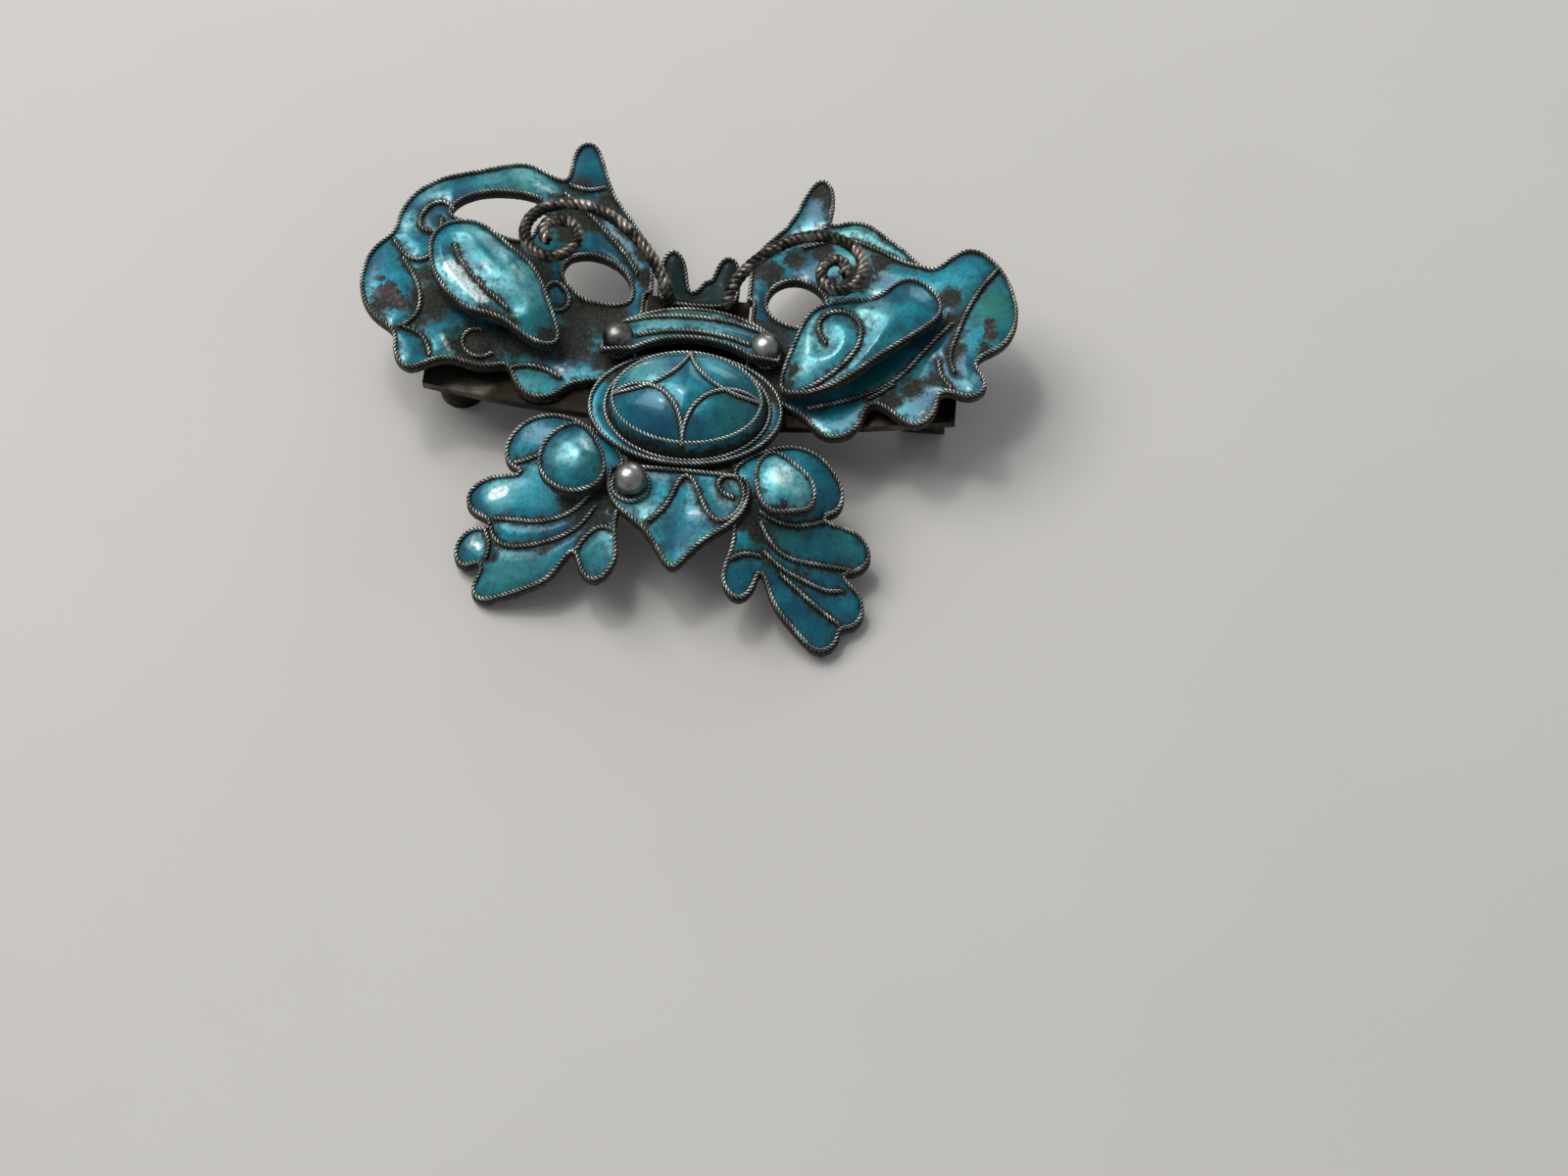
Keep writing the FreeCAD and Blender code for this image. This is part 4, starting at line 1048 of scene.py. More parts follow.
@dataclass
class Workshop:
    """What every sub-assembly needs: the frame, the finishes and the wire."""

    bench: Bench
    finishes: Finishes
    wire: Wire       # round the wings, leaves and tail
    fine: Wire       # on the body
    rope: Wire       # the antennae

    def attach(self, thing: bpy.types.Object, slot: str, *nodes: str, body: Body = Body.ORNAMENT) -> None:
        """Makes a piece ride on a body in place of construction nodes.

        Args:
            thing: the finished piece.
            slot: the record's material slot; not used.
            nodes: the nodes that it stands for.
            body: the body that it rides on.
        """
        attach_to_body(thing, body.value)
        if nodes:
            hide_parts(*nodes)
        LOG.info("%s: %d faces", thing.name, len(thing.data.polygons))

    def drawn(self, lines: Sequence[Path]) -> List[np.ndarray]:
        """Drawn lines, rounded and put in place."""
        return [rounded(self.bench.placed(line), LINE_STEP) for line in lines]

    def marks(self, chosen: Marks) -> Marks:
        """Marks, put in place."""
        dx, dy = self.bench.shift
        return {mark: [(x + dx, y + dy, r, s) for x, y, r, s in spots] for mark, spots in chosen.items()}

    def sheet(self, node: str, lines: List[np.ndarray], relief: Relief,
              marks: Optional[Marks] = None, sooty: bool = False) -> EnamelSheet:
        """An enamel sheet over a construction node.

        Args:
            node: the sheet's node.
            lines: its inner wires in plan.
            relief: how it swells.
            marks: its worn, dirty and green places, its pale places and painted highlights, and its deep
                places and painted shade.
            sooty: True for the sooty finish.

        Returns:
            The sheet, built and attached.
        """
        loops = self.bench.outlines(node, RIM_STEP)
        made = EnamelSheet(node + "_enamel", loops, self.bench.surface(node), lines, relief,
                           self.marks(marks or {}))
        finish = self.finishes.sooty_enamel if sooty else self.finishes.enamel
        self.attach(made.build(finish), "enamel", node)
        return made

    def wires(self, sheet: EnamelSheet, node: str, lift: float = 0.14) -> None:
        """Twisted wire round a sheet's rims and along its inner lines."""
        paths = self.wire.rims(sheet.loops, sheet.height, lift)
        paths += self.wire.inner(sheet.lines, sheet.height, lift)
        self.attach(self.wire.lay(node + "_twist", paths), "twisted_wire", node)


# --------------------------------------------------------------- sub-assemblies
@dataclass
class UpperWing:
    """A pierced upper wing with its cells, and the domed leaf over it."""

    shop: Workshop
    side: Side
    lines: List[Path]
    leaf_lines: List[Path]
    marks: Marks
    leaf_marks: Marks
    relief: Relief = field(default_factory=lambda: Relief(pillow=0.13, spread=0.45))
    leaf_relief: Relief = field(default_factory=lambda: Relief(pillow=0.34, spread=0.9))

    def build(self) -> None:
        """Makes the sheet, the leaf and their wires."""
        word = self.side.value
        sheet = self.shop.sheet("upper_wing_" + word, self.shop.drawn(self.lines), self.relief, self.marks)
        self.shop.wires(sheet, "upper_wing_wires_" + word)
        leaf = self.shop.sheet("leaf_" + word, self.shop.drawn(self.leaf_lines), self.leaf_relief,
                               self.leaf_marks)
        self.shop.wires(leaf, "leaf_wires_" + word)


@dataclass
class LowerWing:
    """A fan of lobes with a small domed lobe over its root."""

    shop: Workshop
    side: Side
    lines: List[Path]
    marks: Marks
    lobe_marks: Marks
    relief: Relief = field(default_factory=lambda: Relief(pillow=0.13, spread=0.35))
    lobe_relief: Relief = field(default_factory=lambda: Relief(pillow=0.22, spread=0.6))

    def build(self) -> None:
        """Makes the fan, the lobe and their wires."""
        word = self.side.value
        sheet = self.shop.sheet("lower_wing_" + word, self.shop.drawn(self.lines), self.relief, self.marks)
        self.shop.wires(sheet, "lower_wing_wires_" + word)
        lobe = self.shop.sheet("lobe_" + word, [], self.lobe_relief, self.lobe_marks)
        self.shop.wires(lobe, "lobe_wire_" + word)


@dataclass
class Tail:
    """The pointed shield behind the body, with its scroll and bead ring."""

    shop: Workshop
    bead: Point = (-2.3, -6.0)
    bead_radius: float = 0.85
    lift: float = 0.16         # of the wires' middles over the shield
    scroll: Path = field(default_factory=lambda: [
        (3.0, -6.3), (2.3, -6.1), (2.0, -5.4), (2.6, -4.9), (3.3, -5.2), (3.6, -6.2), (3.3, -7.2),
        (2.5, -7.8), (1.8, -7.5), (1.3, -6.4), (0.9, -5.4), (0.4, -5.1), (0.1, -5.5), (-0.1, -6.4),
        (-0.5, -7.3), (-1.2, -8.0)])

    def build(self) -> None:
        """Makes the shield and its wires."""
        scroll = self.shop.drawn([self.scroll])
        sheet = self.shop.sheet("tail_shield", scroll, Relief(pillow=-0.10, spread=0.9), TAIL_MARKS)
        wire, attach = self.shop.wire, self.shop.attach
        edge = wire.rims(sheet.loops[:1], sheet.height, self.lift)
        attach(wire.lay("tail_edge_twist", edge), "twisted_wire", "tail_edge_wire")
        paths = wire.inner(sheet.lines, sheet.height, self.lift)
        attach(wire.lay("tail_scroll_twist", paths), "twisted_wire", "tail_scroll_wire")
        middle = self.shop.bench.placed([self.bead])[0]
        turn = np.linspace(0, 2 * math.pi, 40, endpoint=False)
        radius = self.bead_radius + wire.radius
        ring = middle + radius * np.stack([np.cos(turn), np.sin(turn)], 1)
        path = [(np.column_stack([ring, sheet.height(ring) + self.lift]), True)]
        attach(wire.lay("tail_bead_twist", path), "twisted_wire", "tail_bead_ring")


@dataclass
class BodyDome:
    """The oval body: base plate, enamelled dome and the wires on them."""

    shop: Workshop
    middle: Point = (0.1, -1.15)
    half_length: float = 4.15
    half_width: float = 3.05
    rise: float = 2.3
    star_reach: float = 0.93   # its tips' distance from the middle, as a share of the dome's
    star_waist: float = 1.1    # the hollows' distance from the middle
    star_samples: int = 40
    plate_line: float = 0.1    # how far outside the dome the plate's seam of dirt runs
    skin_inset: float = 0.02   # of the enamel's rim
    crown_wire: float = 0.22   # of the second wire, up on the dome
    foot_wire: float = 2.2     # of the first wire round the foot, in wire radii
    lift: float = 0.14         # of the wires' middles over the surface

    def place(self) -> Tuple[np.ndarray, float]:
        """The dome's middle in the frame and the height of the plate that it stands on."""
        low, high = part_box("body_base")
        return self.shop.bench.placed([self.middle])[0], high.z / MM

    def ring(self, grow: float) -> np.ndarray:
        """An oval round the dome's rim, larger by a distance."""
        line = oval(self.place()[0], self.half_length + grow, self.half_width + grow)
        return evenly(line, LINE_STEP, True)

    def crown(self) -> Heights:
        """The height of the dome, and of the plate round it."""
        centre, floor = self.place()
        return cushion(centre, self.half_length, self.half_width, floor, self.rise)

    def star(self) -> List[np.ndarray]:
        """Four hollow curves between the tips on the dome's axes."""
        a, b = self.star_reach * self.half_length, self.star_reach * self.half_width
        waist = self.star_waist * math.sqrt(0.5)
        made = []
        for along, back in ((1, 1), (-1, 1), (-1, -1), (1, -1)):
            tip = np.array([along * a, 0.0])
            hollow = np.array([along * waist, back * waist])
            far = np.array([0.0, back * b])
            made.append(self.place()[0] + arc(tip, hollow, far, self.star_samples))
        return made

    def build(self) -> None:
        """Makes the plate, the dome and all the wires."""
        shop = self.shop
        base = shop.sheet("body_base", [self.ring(self.plate_line)],
                          Relief(pillow=0.10, spread=0.3, dirt=0.16), BASE_MARKS)
        star = self.star()
        dome = EnamelSheet("body_dome_enamel", [self.ring(-self.skin_inset)], self.crown(), star,
                           Relief(pillow=0.10, spread=0.4, dirt=0.20, wash=0.30, thickness=0.3),
                           shop.marks(DOME_MARKS))
        shop.attach(dome.build(shop.finishes.enamel), "enamel", "body_dome")
        fine, floor = shop.fine, self.place()[1]
        foot = [self.ring(self.foot_wire * fine.radius)]
        rim = fine.rims(foot, lambda places: np.full(len(places), floor), self.lift)
        rim += fine.rims([self.ring(-self.crown_wire)], self.crown(), self.lift)
        shop.attach(fine.lay("body_rim_twist", rim), "twisted_wire", "body_rim_wire")
        edge = fine.rims(base.loops, base.height, self.lift)
        shop.attach(fine.lay("body_edge_twist", edge), "twisted_wire", "body_edge_wire")
        paths = fine.inner(star, self.crown(), self.lift)
        shop.attach(fine.lay("body_star_twist", paths), "twisted_wire", "body_star_wire")


@dataclass
class Collar:
    """The crowned crescent behind the dome, with ridges across it."""

    shop: Workshop
    middle: Point = (0.0, -1.1)
    half_length: float = 6.5
    half_width: float = 6.0
    rise: float = 1.4
    half: float = 4.7          # X where its horns are cut off
    front: float = 1.5         # Y of the horns' ends
    dome: Point = (0.1, -1.15)
    dome_half: Point = (4.62, 3.52)      # the oval that is cut out of it
    samples: int = 60
    step: float = 0.14
    ridges: List[Path] = field(default_factory=lambda: [
        [(-3.6, 3.7), (-2.3, 3.95), (-0.5, 4.05), (1.8, 3.95), (3.6, 3.5)],
        [(-2.9, 2.5), (-1.4, 2.85), (0.2, 2.95), (1.7, 2.8), (3.0, 2.4)]])

    def outline(self) -> np.ndarray:
        """The crescent's rim, counter-clockwise in the frame."""
        reach = math.asin(self.half / self.half_length)
        back = [(self.middle[0] + self.half_length * math.sin(t),
                 self.middle[1] + self.half_width * math.cos(t))
                for t in np.linspace(reach, -reach, self.samples)]
        (x, y), (a, b) = self.dome, self.dome_half
        edge = math.acos((self.front - y) / b)
        near = [(x + a * math.sin(t), y + b * math.cos(t)) for t in np.linspace(-edge, edge, self.samples)]
        corners = [(-self.half, self.front)] + near + [(self.half, self.front)]
        return evenly(self.shop.bench.placed(back + corners), self.step, True)

    def crown(self) -> Heights:
        """The crescent's height over the plate, as an oval cushion's."""
        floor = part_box("body_base")[1].z / MM
        centre = self.shop.bench.placed([self.middle])[0]
        return cushion(centre, self.half_length, self.half_width, floor, self.rise)

    def build(self) -> None:
        """Makes the crescent and its wires."""
        shop = self.shop
        lines = shop.drawn(self.ridges)
        sheet = EnamelSheet("collar_enamel", [self.outline()], self.crown(), lines,
                            Relief(pillow=0.16, spread=0.35, thickness=0.35),
                            shop.marks(COLLAR_MARKS))
        shop.attach(sheet.build(shop.finishes.enamel), "enamel", "collar")
        shop.wires(sheet, "collar_wires")


@dataclass
class Crest:
    """The two ear petals and the leaf between them."""

    shop: Workshop
    lift: float = 0.14

    def build(self) -> None:
        """Makes the petals' sheet."""
        sheet = self.shop.sheet("head_crest", [], Relief(pillow=0.15, spread=0.4), sooty=True)
        rims = self.shop.wire.rims(sheet.loops[:1], sheet.height, self.lift)
        self.shop.attach(self.shop.wire.lay("head_crest_twist", rims), "twisted_wire")


@dataclass
class Antenna:
    """A thick twisted wire that rises behind the collar and ends in a flat spiral."""

    shop: Workshop
    side: Side
    route: List[Tuple[float, float, float]]

    def build(self) -> None:
        """Makes the antenna."""
        word = self.side.value
        line = rounded(self.shop.bench.placed(self.route), LINE_STEP)
        thing = self.shop.rope.lay("antenna_twist_" + word, [(line, False)])
        self.shop.attach(thing, "aged_silver", "antenna_" + word)


@dataclass
class Fastening:
    """The plain silver parts, which keep their construction meshes."""

    shop: Workshop
    beads: Tuple[str, ...] = ("bead_rivet_left", "bead_rivet_right", "bead_rivet_tail")

    def build(self) -> None:
        """Gives every construction node that still shows its finish."""
        for name, node in self.shop.bench.nodes.items():
            if node.hide_render:
                continue
            finish = self.shop.finishes.bead if name in self.beads else self.shop.finishes.silver
            node.data.materials.clear()
            node.data.materials.append(finish)
            LOG.info("%s: kept with %s", name, finish.name)


# ----------------------------------------------------------------- the butterfly
LEFT_WING_LINES: List[Path] = [
    [(-13.3, 9.3), (-13.9, 9.9), (-14.7, 9.5), (-15.1, 8.6), (-14.9, 7.8), (-14.3, 7.8)],
    [(-13.9, 8.7), (-13.7, 7.5), (-14.0, 6.4), (-14.7, 5.8), (-15.5, 6.1), (-16.2, 7.1)],
    [(-15.6, 6.0), (-14.8, 5.0), (-14.2, 3.6), (-14.4, 2.3), (-15.2, 1.7)],
    [(-15.0, 1.7), (-14.2, 1.6), (-13.6, 1.0), (-13.4, 0.3)],
    [(-10.3, 1.2), (-10.8, 0.7), (-11.6, 0.8), (-12.0, 1.5), (-11.7, 2.3), (-11.0, 2.4)],
    [(-7.6, 12.2), (-6.6, 12.0), (-5.7, 12.5)],
    [(-7.8, 11.6), (-6.6, 10.9), (-5.2, 9.6), (-4.1, 8.4), (-3.4, 7.2)],
    [(-9.3, 0.5), (-8.6, 0.9), (-7.5, 0.9), (-6.7, 0.4)],
    [(-8.0, 4.7), (-8.2, 5.5), (-7.7, 6.3), (-6.9, 5.8), (-6.7, 4.8), (-7.3, 4.3), (-7.9, 4.5)],
]
RIGHT_WING_LINES: List[Path] = [
    [(4.5, 10.2), (5.4, 10.3), (6.3, 10.9)],
    [(5.2, 9.6), (6.6, 10.1), (8.0, 9.9), (9.4, 9.1), (10.8, 8.2), (12.0, 7.9)],
    [(15.6, 8.0), (14.9, 7.0), (14.4, 6.0), (14.0, 5.0), (13.6, 3.6), (13.3, 2.4), (13.7, 1.5)],
    [(13.6, 0.6), (13.0, 1.2), (12.8, 2.3)],
    [(6.2, -0.4), (7.5, 0.0), (9.0, 0.4), (10.3, 0.9), (11.2, 1.7), (11.8, 2.6), (12.6, 3.6), (13.4, 4.5)],
    [(9.3, 0.2), (9.9, 0.5), (10.6, 1.0)],
]
LEFT_LEAF_LINES: List[Path] = [[(-12.8, 6.4), (-12.5, 5.5), (-11.8, 4.7), (-10.9, 3.8), (-9.6, 2.9)]]
RIGHT_LEAF_LINES: List[Path] = [
    [(7.0, 2.3), (6.5, 3.0), (6.5, 3.8), (7.1, 4.3), (8.0, 4.2), (8.7, 3.5), (8.8, 2.5), (8.4, 1.6),
     (7.8, 0.9), (6.9, 0.2), (5.9, -0.2)]]
LEFT_FAN_LINES: List[Path] = [
    [(-8.6, -4.4), (-7.6, -4.3), (-6.6, -3.9)],
    [(-9.4, -7.1), (-8.2, -7.3), (-7.0, -7.6), (-5.8, -7.5), (-4.8, -7.1), (-4.2, -6.2)],
    [(-9.5, -7.5), (-9.3, -8.2), (-8.4, -8.7), (-7.0, -8.7), (-5.6, -8.5), (-4.6, -8.0), (-4.0, -7.1)],
    [(-9.8, -7.6), (-9.4, -8.4), (-9.6, -9.1)],
    [(-4.8, -9.2), (-4.3, -8.4), (-3.5, -8.1), (-2.8, -8.5)],
]
RIGHT_FAN_LINES: List[Path] = [
    [(7.7, -6.3), (6.6, -6.9), (5.4, -7.1), (4.3, -6.7)],
    [(9.2, -8.4), (8.2, -8.5), (7.0, -8.6), (5.9, -8.7), (5.0, -8.2), (4.4, -7.2)],
    [(8.8, -9.5), (8.0, -9.8), (6.8, -9.5), (5.7, -9.3), (4.7, -8.6)],
    [(8.8, -11.2), (7.9, -10.8), (6.8, -10.2), (5.6, -9.5)],
    [(3.0, -9.5), (3.7, -8.9), (4.6, -8.9)],
]
LEFT_ANTENNA = [
    (-1.5, 5.3, 4.65), (-1.55, 5.35, 5.7), (-2.1, 6.2, 6.5), (-2.9, 7.2, 7.0), (-4.1, 8.2, 7.4),
    (-5.5, 8.9, 7.7), (-6.9, 9.2, 7.7), (-8.4, 8.8, 7.7), (-9.3, 7.7, 7.7), (-9.1, 6.3, 7.7),
    (-8.0, 5.5, 7.7), (-6.8, 5.8, 7.7), (-6.2, 6.9, 7.7), (-6.7, 7.9, 7.7), (-7.8, 8.1, 7.7),
    (-8.4, 7.3, 7.7), (-7.9, 6.6, 7.7)]
RIGHT_ANTENNA = [
    (1.5, 5.3, 4.65), (1.55, 5.35, 5.7), (2.2, 6.3, 6.5), (3.3, 7.2, 7.0), (4.5, 7.9, 7.4), (5.9, 8.2, 7.7),
    (7.3, 8.1, 7.7), (8.4, 7.3, 7.7), (8.7, 6.1, 7.7), (8.2, 5.0, 7.7), (7.2, 4.7, 7.7), (6.4, 5.3, 7.7),
    (6.4, 6.3, 7.7), (7.1, 6.9, 7.7), (7.8, 6.4, 7.7), (7.6, 5.8, 7.7)]


# Places on the enamel: x, y, radius and strength. The pale marks and their streaks are partly pale foil and
# partly painted highlights; the deep marks are partly deeper enamel and partly painted shade.
LEFT_WING_MARKS: Marks = {
    Mark.WORN: [(-16.0, 3.6, 1.0, 0.85), (-15.4, 3.2, 0.8, 0.8), (-16.6, 4.6, 0.5, 0.6)],
    Mark.GRIME: [(-16.3, 2.9, 1.0, 0.9), (-13.8, 3.4, 1.5, 1.3), (-14.2, 5.1, 0.9, 1.0),
                 (-14.2, 2.2, 0.8, 1.0), (-11.2, 1.4, 2.0, 1.2), (-9.3, 2.1, 1.5, 1.2),
                 (-7.9, 2.2, 1.3, 1.2), (-6.4, 2.6, 1.7, 1.3), (-6.0, 4.4, 1.6, 1.3),
                 (-4.7, 4.3, 1.6, 1.3), (-4.3, 1.8, 1.4, 1.1), (-8.9, 6.4, 1.6, 1.2),
                 (-10.2, 7.9, 1.3, 1.1), (-7.3, 9.4, 1.2, 1.2), (-7.6, 10.9, 1.2, 1.2),
                 (-6.4, 10.3, 1.1, 1.2), (-5.2, 11.6, 1.3, 1.2), (-4.1, 10.3, 1.1, 1.2),
                 (-3.1, 8.7, 0.9, 1.2), (-2.9, 7.0, 0.9, 1.1), (-6.9, 12.2, 0.8, 1.1)],
    Mark.PALE: [(-9.9, 12.3, 1.2, 0.8), (-11.4, 12.0, 1.6, 0.45), (-14.8, 10.6, 1.2, 0.5),
                (-15.5, 8.2, 0.8, 0.95), (-12.2, 2.6, 0.4, 0.8), (-8.2, 0.2, 1.3, 0.3)]
    + highlight_streak((-12.9, 1.5), (-12.5, 0.8), 0.3, 1.1) + highlight_streak((-9.2, 11.8), (-8.3, 11.5), 0.45, 1.0),
    Mark.GREEN: [(-9.6, 12.0, 1.4, 0.6), (-12.4, 0.2, 1.2, 0.6), (-8.2, 0.2, 1.2, 0.5)],
    Mark.DEEP: [(-6.8, 13.8, 1.0, 0.4), (-4.6, 8.4, 1.0, 0.3), (-16.6, 6.4, 0.9, 0.4)],
}
RIGHT_WING_MARKS: Marks = {
    Mark.WORN: [(15.3, 4.4, 0.55, 0.85), (15.4, 3.8, 0.5, 0.85)],
    Mark.GRIME: [(6.0, 13.2, 0.9, 1.2), (6.3, 12.4, 0.6, 1.0), (3.5, 9.6, 0.9, 1.1), (2.7, 8.4, 0.9, 1.2),
                 (3.6, 7.9, 1.0, 1.2), (4.8, 8.9, 0.9, 1.1), (6.2, 9.4, 0.9, 1.1), (6.8, 7.1, 0.9, 1.1),
                 (8.3, 7.6, 1.2, 1.2), (9.4, 8.5, 0.9, 1.1), (11.2, 8.1, 0.7, 0.9), (7.6, 5.6, 1.2, 1.1),
                 (3.9, 3.8, 1.4, 1.3), (4.6, 2.4, 1.6, 1.3), (4.6, 0.8, 1.6, 1.3), (13.1, 6.0, 0.9, 1.1),
                 (13.4, 4.6, 0.8, 1.1), (13.6, 2.9, 0.8, 1.1), (10.4, 0.0, 0.9, 1.2), (11.6, 0.7, 0.9, 1.1),
                 (15.2, 3.0, 0.7, 0.9), (12.6, 1.2, 0.7, 0.9)],
    Mark.PALE: [(8.2, 10.2, 1.6, 0.5), (5.3, 10.6, 0.9, 0.5), (14.8, 1.1, 0.7, 0.5)]
    + highlight_streak((9.2, 6.6), (9.7, 6.3), 0.35, 1.2),
    Mark.GREEN: [(8.4, 10.0, 2.2, 0.9), (15.5, 5.6, 1.8, 1.0), (10.3, 1.4, 2.2, 0.7),
                 (9.5, 8.2, 0.8, 0.8)],
    Mark.DEEP: [(5.9, 11.9, 1.3, 0.9), (5.8, 8.3, 1.2, 0.5), (7.9, -0.8, 1.5, 0.5),
                (12.5, -0.2, 1.4, 0.9), (13.7, 2.1, 1.6, 1.0), (13.1, 3.6, 1.3, 0.9),
                (10.6, 1.6, 1.6, 0.5), (13.5, 7.6, 1.2, 0.3)],
}
LEFT_LEAF_MARKS: Marks = {
    Mark.PALE: [(-9.3, 5.0, 1.7, 0.9), (-12.1, 7.3, 0.9, 0.6), (-8.7, 3.8, 1.0, 0.6),
                (-13.5, 5.0, 0.5, 0.7)]
    + highlight_streak((-12.7, 4.9), (-11.0, 3.4), 0.72, 1.6) + highlight_streak((-9.6, 5.4), (-9.1, 4.8), 0.5, 1.0),
    Mark.GREEN: [(-11.0, 6.6, 1.6, 0.4), (-8.4, 3.2, 1.4, 0.6)],
    Mark.GRIME: [(-10.6, 2.3, 1.0, 1.2), (-7.4, 1.6, 1.0, 1.2), (-9.4, 2.2, 0.7, 0.9)],
    Mark.WORN: [(-10.3, 2.7, 0.4, 0.7)],
}
RIGHT_LEAF_MARKS: Marks = {
    Mark.PALE: [(9.0, 4.3, 1.3, 0.8), (6.3, 2.4, 1.5, 0.85), (5.9, 1.2, 1.0, 0.9), (7.6, 2.9, 0.9, 0.4)]
    + highlight_streak((6.1, 2.8), (6.0, 1.8), 0.5, 0.95),
    Mark.GREEN: [(10.6, 2.2, 1.6, 0.25)],
    Mark.GRIME: [(5.4, 0.9, 0.6, 1.0), (4.9, 0.2, 0.8, 1.1)],
    Mark.DEEP: [(7.9, 0.6, 1.4, 0.4)],
}
LEFT_FAN_MARKS: Marks = {
    Mark.PALE: [(-9.1, -5.9, 0.9, 0.8), (-8.4, -5.4, 1.0, 0.4)]
    + highlight_streak((-9.5, -5.9), (-9.0, -5.8), 0.5, 1.45) + highlight_streak((-10.4, -8.2), (-10.0, -8.5), 0.35, 1.15),
    Mark.GRIME: [(-4.4, -7.5, 1.3, 1.1), (-3.5, -7.8, 0.8, 1.0), (-3.4, -6.4, 1.6, 1.2),
                 (-6.6, -8.9, 0.8, 0.7), (-5.4, -6.7, 0.9, 0.9), (-9.2, -9.0, 0.6, 0.8)],
    Mark.GREEN: [(-8.0, -10.2, 1.8, 0.6), (-3.7, -9.6, 1.2, 0.5)],
    Mark.DEEP: [(-6.6, -7.0, 1.8, 0.5), (-7.4, -9.6, 1.8, 0.4), (-3.6, -9.4, 1.0, 0.5)],
}
RIGHT_FAN_MARKS: Marks = {
    Mark.GREEN: [(8.8, -7.2, 1.4, 0.6), (5.8, -7.6, 1.2, 0.8)],
    Mark.GRIME: [(4.4, -7.7, 1.0, 1.1), (3.4, -6.8, 1.4, 1.2), (6.6, -9.2, 0.9, 0.7),
                 (5.0, -9.0, 0.7, 0.8)],
    Mark.DEEP: [(7.6, -4.6, 1.6, 0.5), (7.0, -8.9, 2.2, 0.5), (7.6, -11.0, 2.2, 0.6),
                (3.4, -9.8, 1.0, 0.5)],
}
LEFT_LOBE_MARKS: Marks = {
    Mark.PALE: [(-5.6, -5.0, 1.1, 0.6)] + highlight_streak((-4.9, -4.4), (-4.6, -4.8), 0.4, 1.05),
    Mark.GREEN: [(-4.1, -5.5, 0.8, 0.7)],
}
RIGHT_LOBE_MARKS: Marks = {
    Mark.PALE: [(5.4, -5.3, 1.9, 1.0), (6.2, -6.0, 0.9, 0.9)],
    Mark.WORN: [(5.6, -6.9, 0.6, 0.7)],
}
TAIL_MARKS: Marks = {
    Mark.PALE: [(-1.7, -7.3, 1.1, 0.6)],
    Mark.GREEN: [(2.5, -6.2, 1.2, 0.5)],
    Mark.GRIME: [(-3.0, -5.2, 0.9, 1.0), (0.0, -4.9, 1.2, 0.7), (3.4, -5.0, 0.7, 1.0)],
}
BASE_MARKS: Marks = {Mark.GRIME: [(4.0, 1.0, 2.2, 1.2), (4.4, -3.2, 1.6, 1.0), (-4.0, 1.2, 1.6, 1.0)]}
DOME_MARKS: Marks = {
    Mark.WORN: [(2.9, -1.2, 0.6, 0.78)],
    Mark.GREEN: [(2.7, -2.4, 1.6, 0.7), (2.8, -0.8, 1.2, 0.5)],
    Mark.PALE: [(-2.3, 0.2, 1.3, 0.85), (-1.2, -0.6, 1.0, 0.5), (1.2, 0.9, 1.2, 0.35)]
    + highlight_streak((-2.6, 0.3), (-2.0, 0.5), 0.35, 1.05),
    Mark.DEEP: [(-2.0, -2.6, 1.6, 0.5)],
}
COLLAR_MARKS: Marks = {
    Mark.GREEN: [(-0.6, 4.8, 1.8, 0.9), (-2.6, 4.4, 1.0, 0.5)],
    Mark.PALE: [(-1.8, 3.3, 1.3, 0.75), (1.0, 3.4, 1.6, 0.5)],
    Mark.GRIME: [(-4.6, 3.6, 1.9, 1.2), (4.7, 3.9, 1.4, 1.0), (0.2, 5.0, 1.2, 0.9), (-3.8, 1.6, 1.2, 1.2),
                 (3.9, 1.6, 1.2, 1.2), (-2.0, 4.9, 1.0, 1.1), (2.2, 4.7, 1.0, 1.0)],
    Mark.DEEP: [(2.6, 3.9, 1.4, 0.6)],
}


def butterfly(shop: Workshop) -> List[object]:
    """The sub-assemblies in the order in which they are made.

    Args:
        shop: the frame, finishes and wire.

    Returns:
        Objects with a build method.
    """
    return [
        BodyDome(shop), Collar(shop), Crest(shop), Tail(shop),
        UpperWing(shop, Side.LEFT, LEFT_WING_LINES, LEFT_LEAF_LINES, LEFT_WING_MARKS, LEFT_LEAF_MARKS),
        UpperWing(shop, Side.RIGHT, RIGHT_WING_LINES, RIGHT_LEAF_LINES, RIGHT_WING_MARKS, RIGHT_LEAF_MARKS),
        LowerWing(shop, Side.LEFT, LEFT_FAN_LINES, LEFT_FAN_MARKS, LEFT_LOBE_MARKS),
        LowerWing(shop, Side.RIGHT, RIGHT_FAN_LINES, RIGHT_FAN_MARKS, RIGHT_LOBE_MARKS),
        Antenna(shop, Side.LEFT, LEFT_ANTENNA), Antenna(shop, Side.RIGHT, RIGHT_ANTENNA),
        Fastening(shop),
    ]


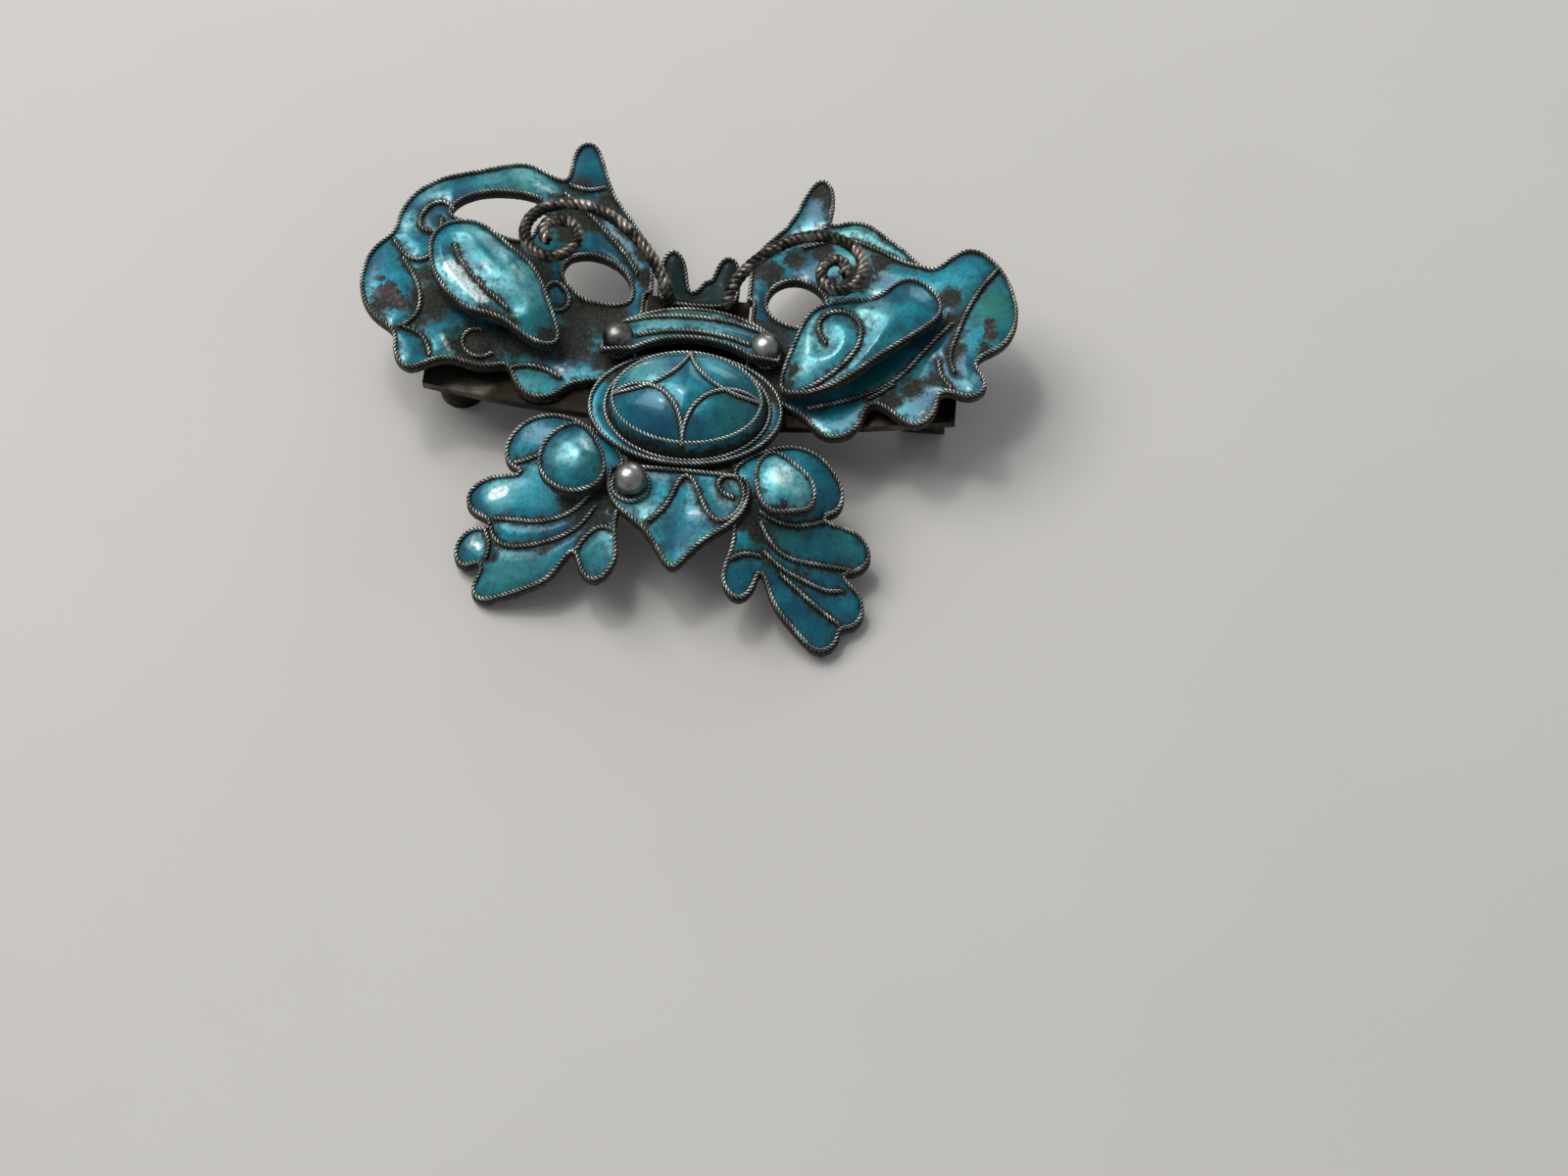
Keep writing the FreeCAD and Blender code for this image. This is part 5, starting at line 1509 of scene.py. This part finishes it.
# ------------------------------------------------------------------------ stage
@dataclass
class Studio:
    """A pale table, soft light from the upper left and the camera."""

    bench: Bench
    eye: Tuple[float, float, float] = (13.3, -95.0, 153.2)     # millimetres from the drawing's zero
    target: Tuple[float, float, float] = (5.76, -8.65, 0.0)
    lens: float = 78.3
    sensor: float = 36.0
    table: float = 900.0
    drop: float = 0.02         # of the table under the ornament's lowest point
    sky: Colour = (0.80, 0.84, 0.90)
    sky_strength: float = 0.34

    def build(self) -> None:
        """Makes the table, the lights, the sky and the camera."""
        half = self.table / 2
        corners = [(-half, -half), (half, -half), (half, half), (-half, half)]
        floor = new_object("table", [(x, y, -self.drop) for x, y in corners], [(0, 1, 2, 3)])
        floor.data.materials.append(FloorFinish().make())
        self.lamp("key", (-150, 80, 290), 240, 0.80, (1.0, 0.98, 0.95))
        self.lamp("glint", (-70, 75, 290), 36, 0.11, (1.0, 1.0, 0.98))
        self.lamp("back", (60, 260, 110), 120, 0.12, (0.96, 0.98, 1.0))
        world = bpy.data.worlds.new("studio")
        world.use_nodes = True
        background = world.node_tree.nodes["Background"]
        background.inputs["Color"].default_value = (*self.sky, 1)
        background.inputs["Strength"].default_value = self.sky_strength
        bpy.context.scene.world = world
        bpy.context.scene.view_settings.view_transform = "Standard"
        self.camera()

    def lamp(self, name: str, place: Tuple[float, float, float], size: float, watts: float,
             colour: Colour) -> None:
        """A square soft light that faces the ornament.

        Args:
            name: the light's name.
            place: where it stands, in millimetres.
            size: its side, in millimetres.
            watts: its power.
            colour: its colour.
        """
        data = bpy.data.lights.new(name, "AREA")
        data.size = size * MM
        data.energy = watts
        data.color = colour
        lamp = bpy.data.objects.new(name, data)
        lamp.location = Vector(place) * MM
        lamp.rotation_euler = (-lamp.location).to_track_quat("-Z", "Y").to_euler()
        bpy.context.scene.collection.objects.link(lamp)

    def camera(self) -> None:
        """The camera, at the height and distance of the viewpoint."""
        data = bpy.data.cameras.new("camera")
        data.lens = self.lens
        data.sensor_width = self.sensor
        data.clip_start, data.clip_end = 0.005, 10.0
        camera = bpy.data.objects.new("camera", data)
        eye, target = (Vector(self.bench.placed([p])[0]) * MM for p in (self.eye, self.target))
        camera.location = eye
        camera.rotation_euler = (target - eye).to_track_quat("-Z", "Y").to_euler()
        bpy.context.scene.collection.objects.link(camera)
        bpy.context.scene.camera = camera


def main() -> None:
    """Builds the ornament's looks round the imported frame."""
    logging.basicConfig(level=logging.INFO, format="%(name)s %(message)s", stream=sys.stdout)
    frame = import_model()
    bench = Bench(frame)
    finishes = Finishes()
    pair = TwistTree(2)
    shop = Workshop(bench, finishes, wire=Wire(pair, finishes.wire),
                    fine=Wire(pair, finishes.fine_wire, strand=0.048),
                    rope=Wire(TwistTree(3), finishes.antenna, strand=0.172, pitch=1.05, step=0.07, sides=9))
    for part in butterfly(shop):
        part.build()
        LOG.info("%s done", type(part).__name__)
    Studio(bench).build()


if __name__ == "__main__":
    main()
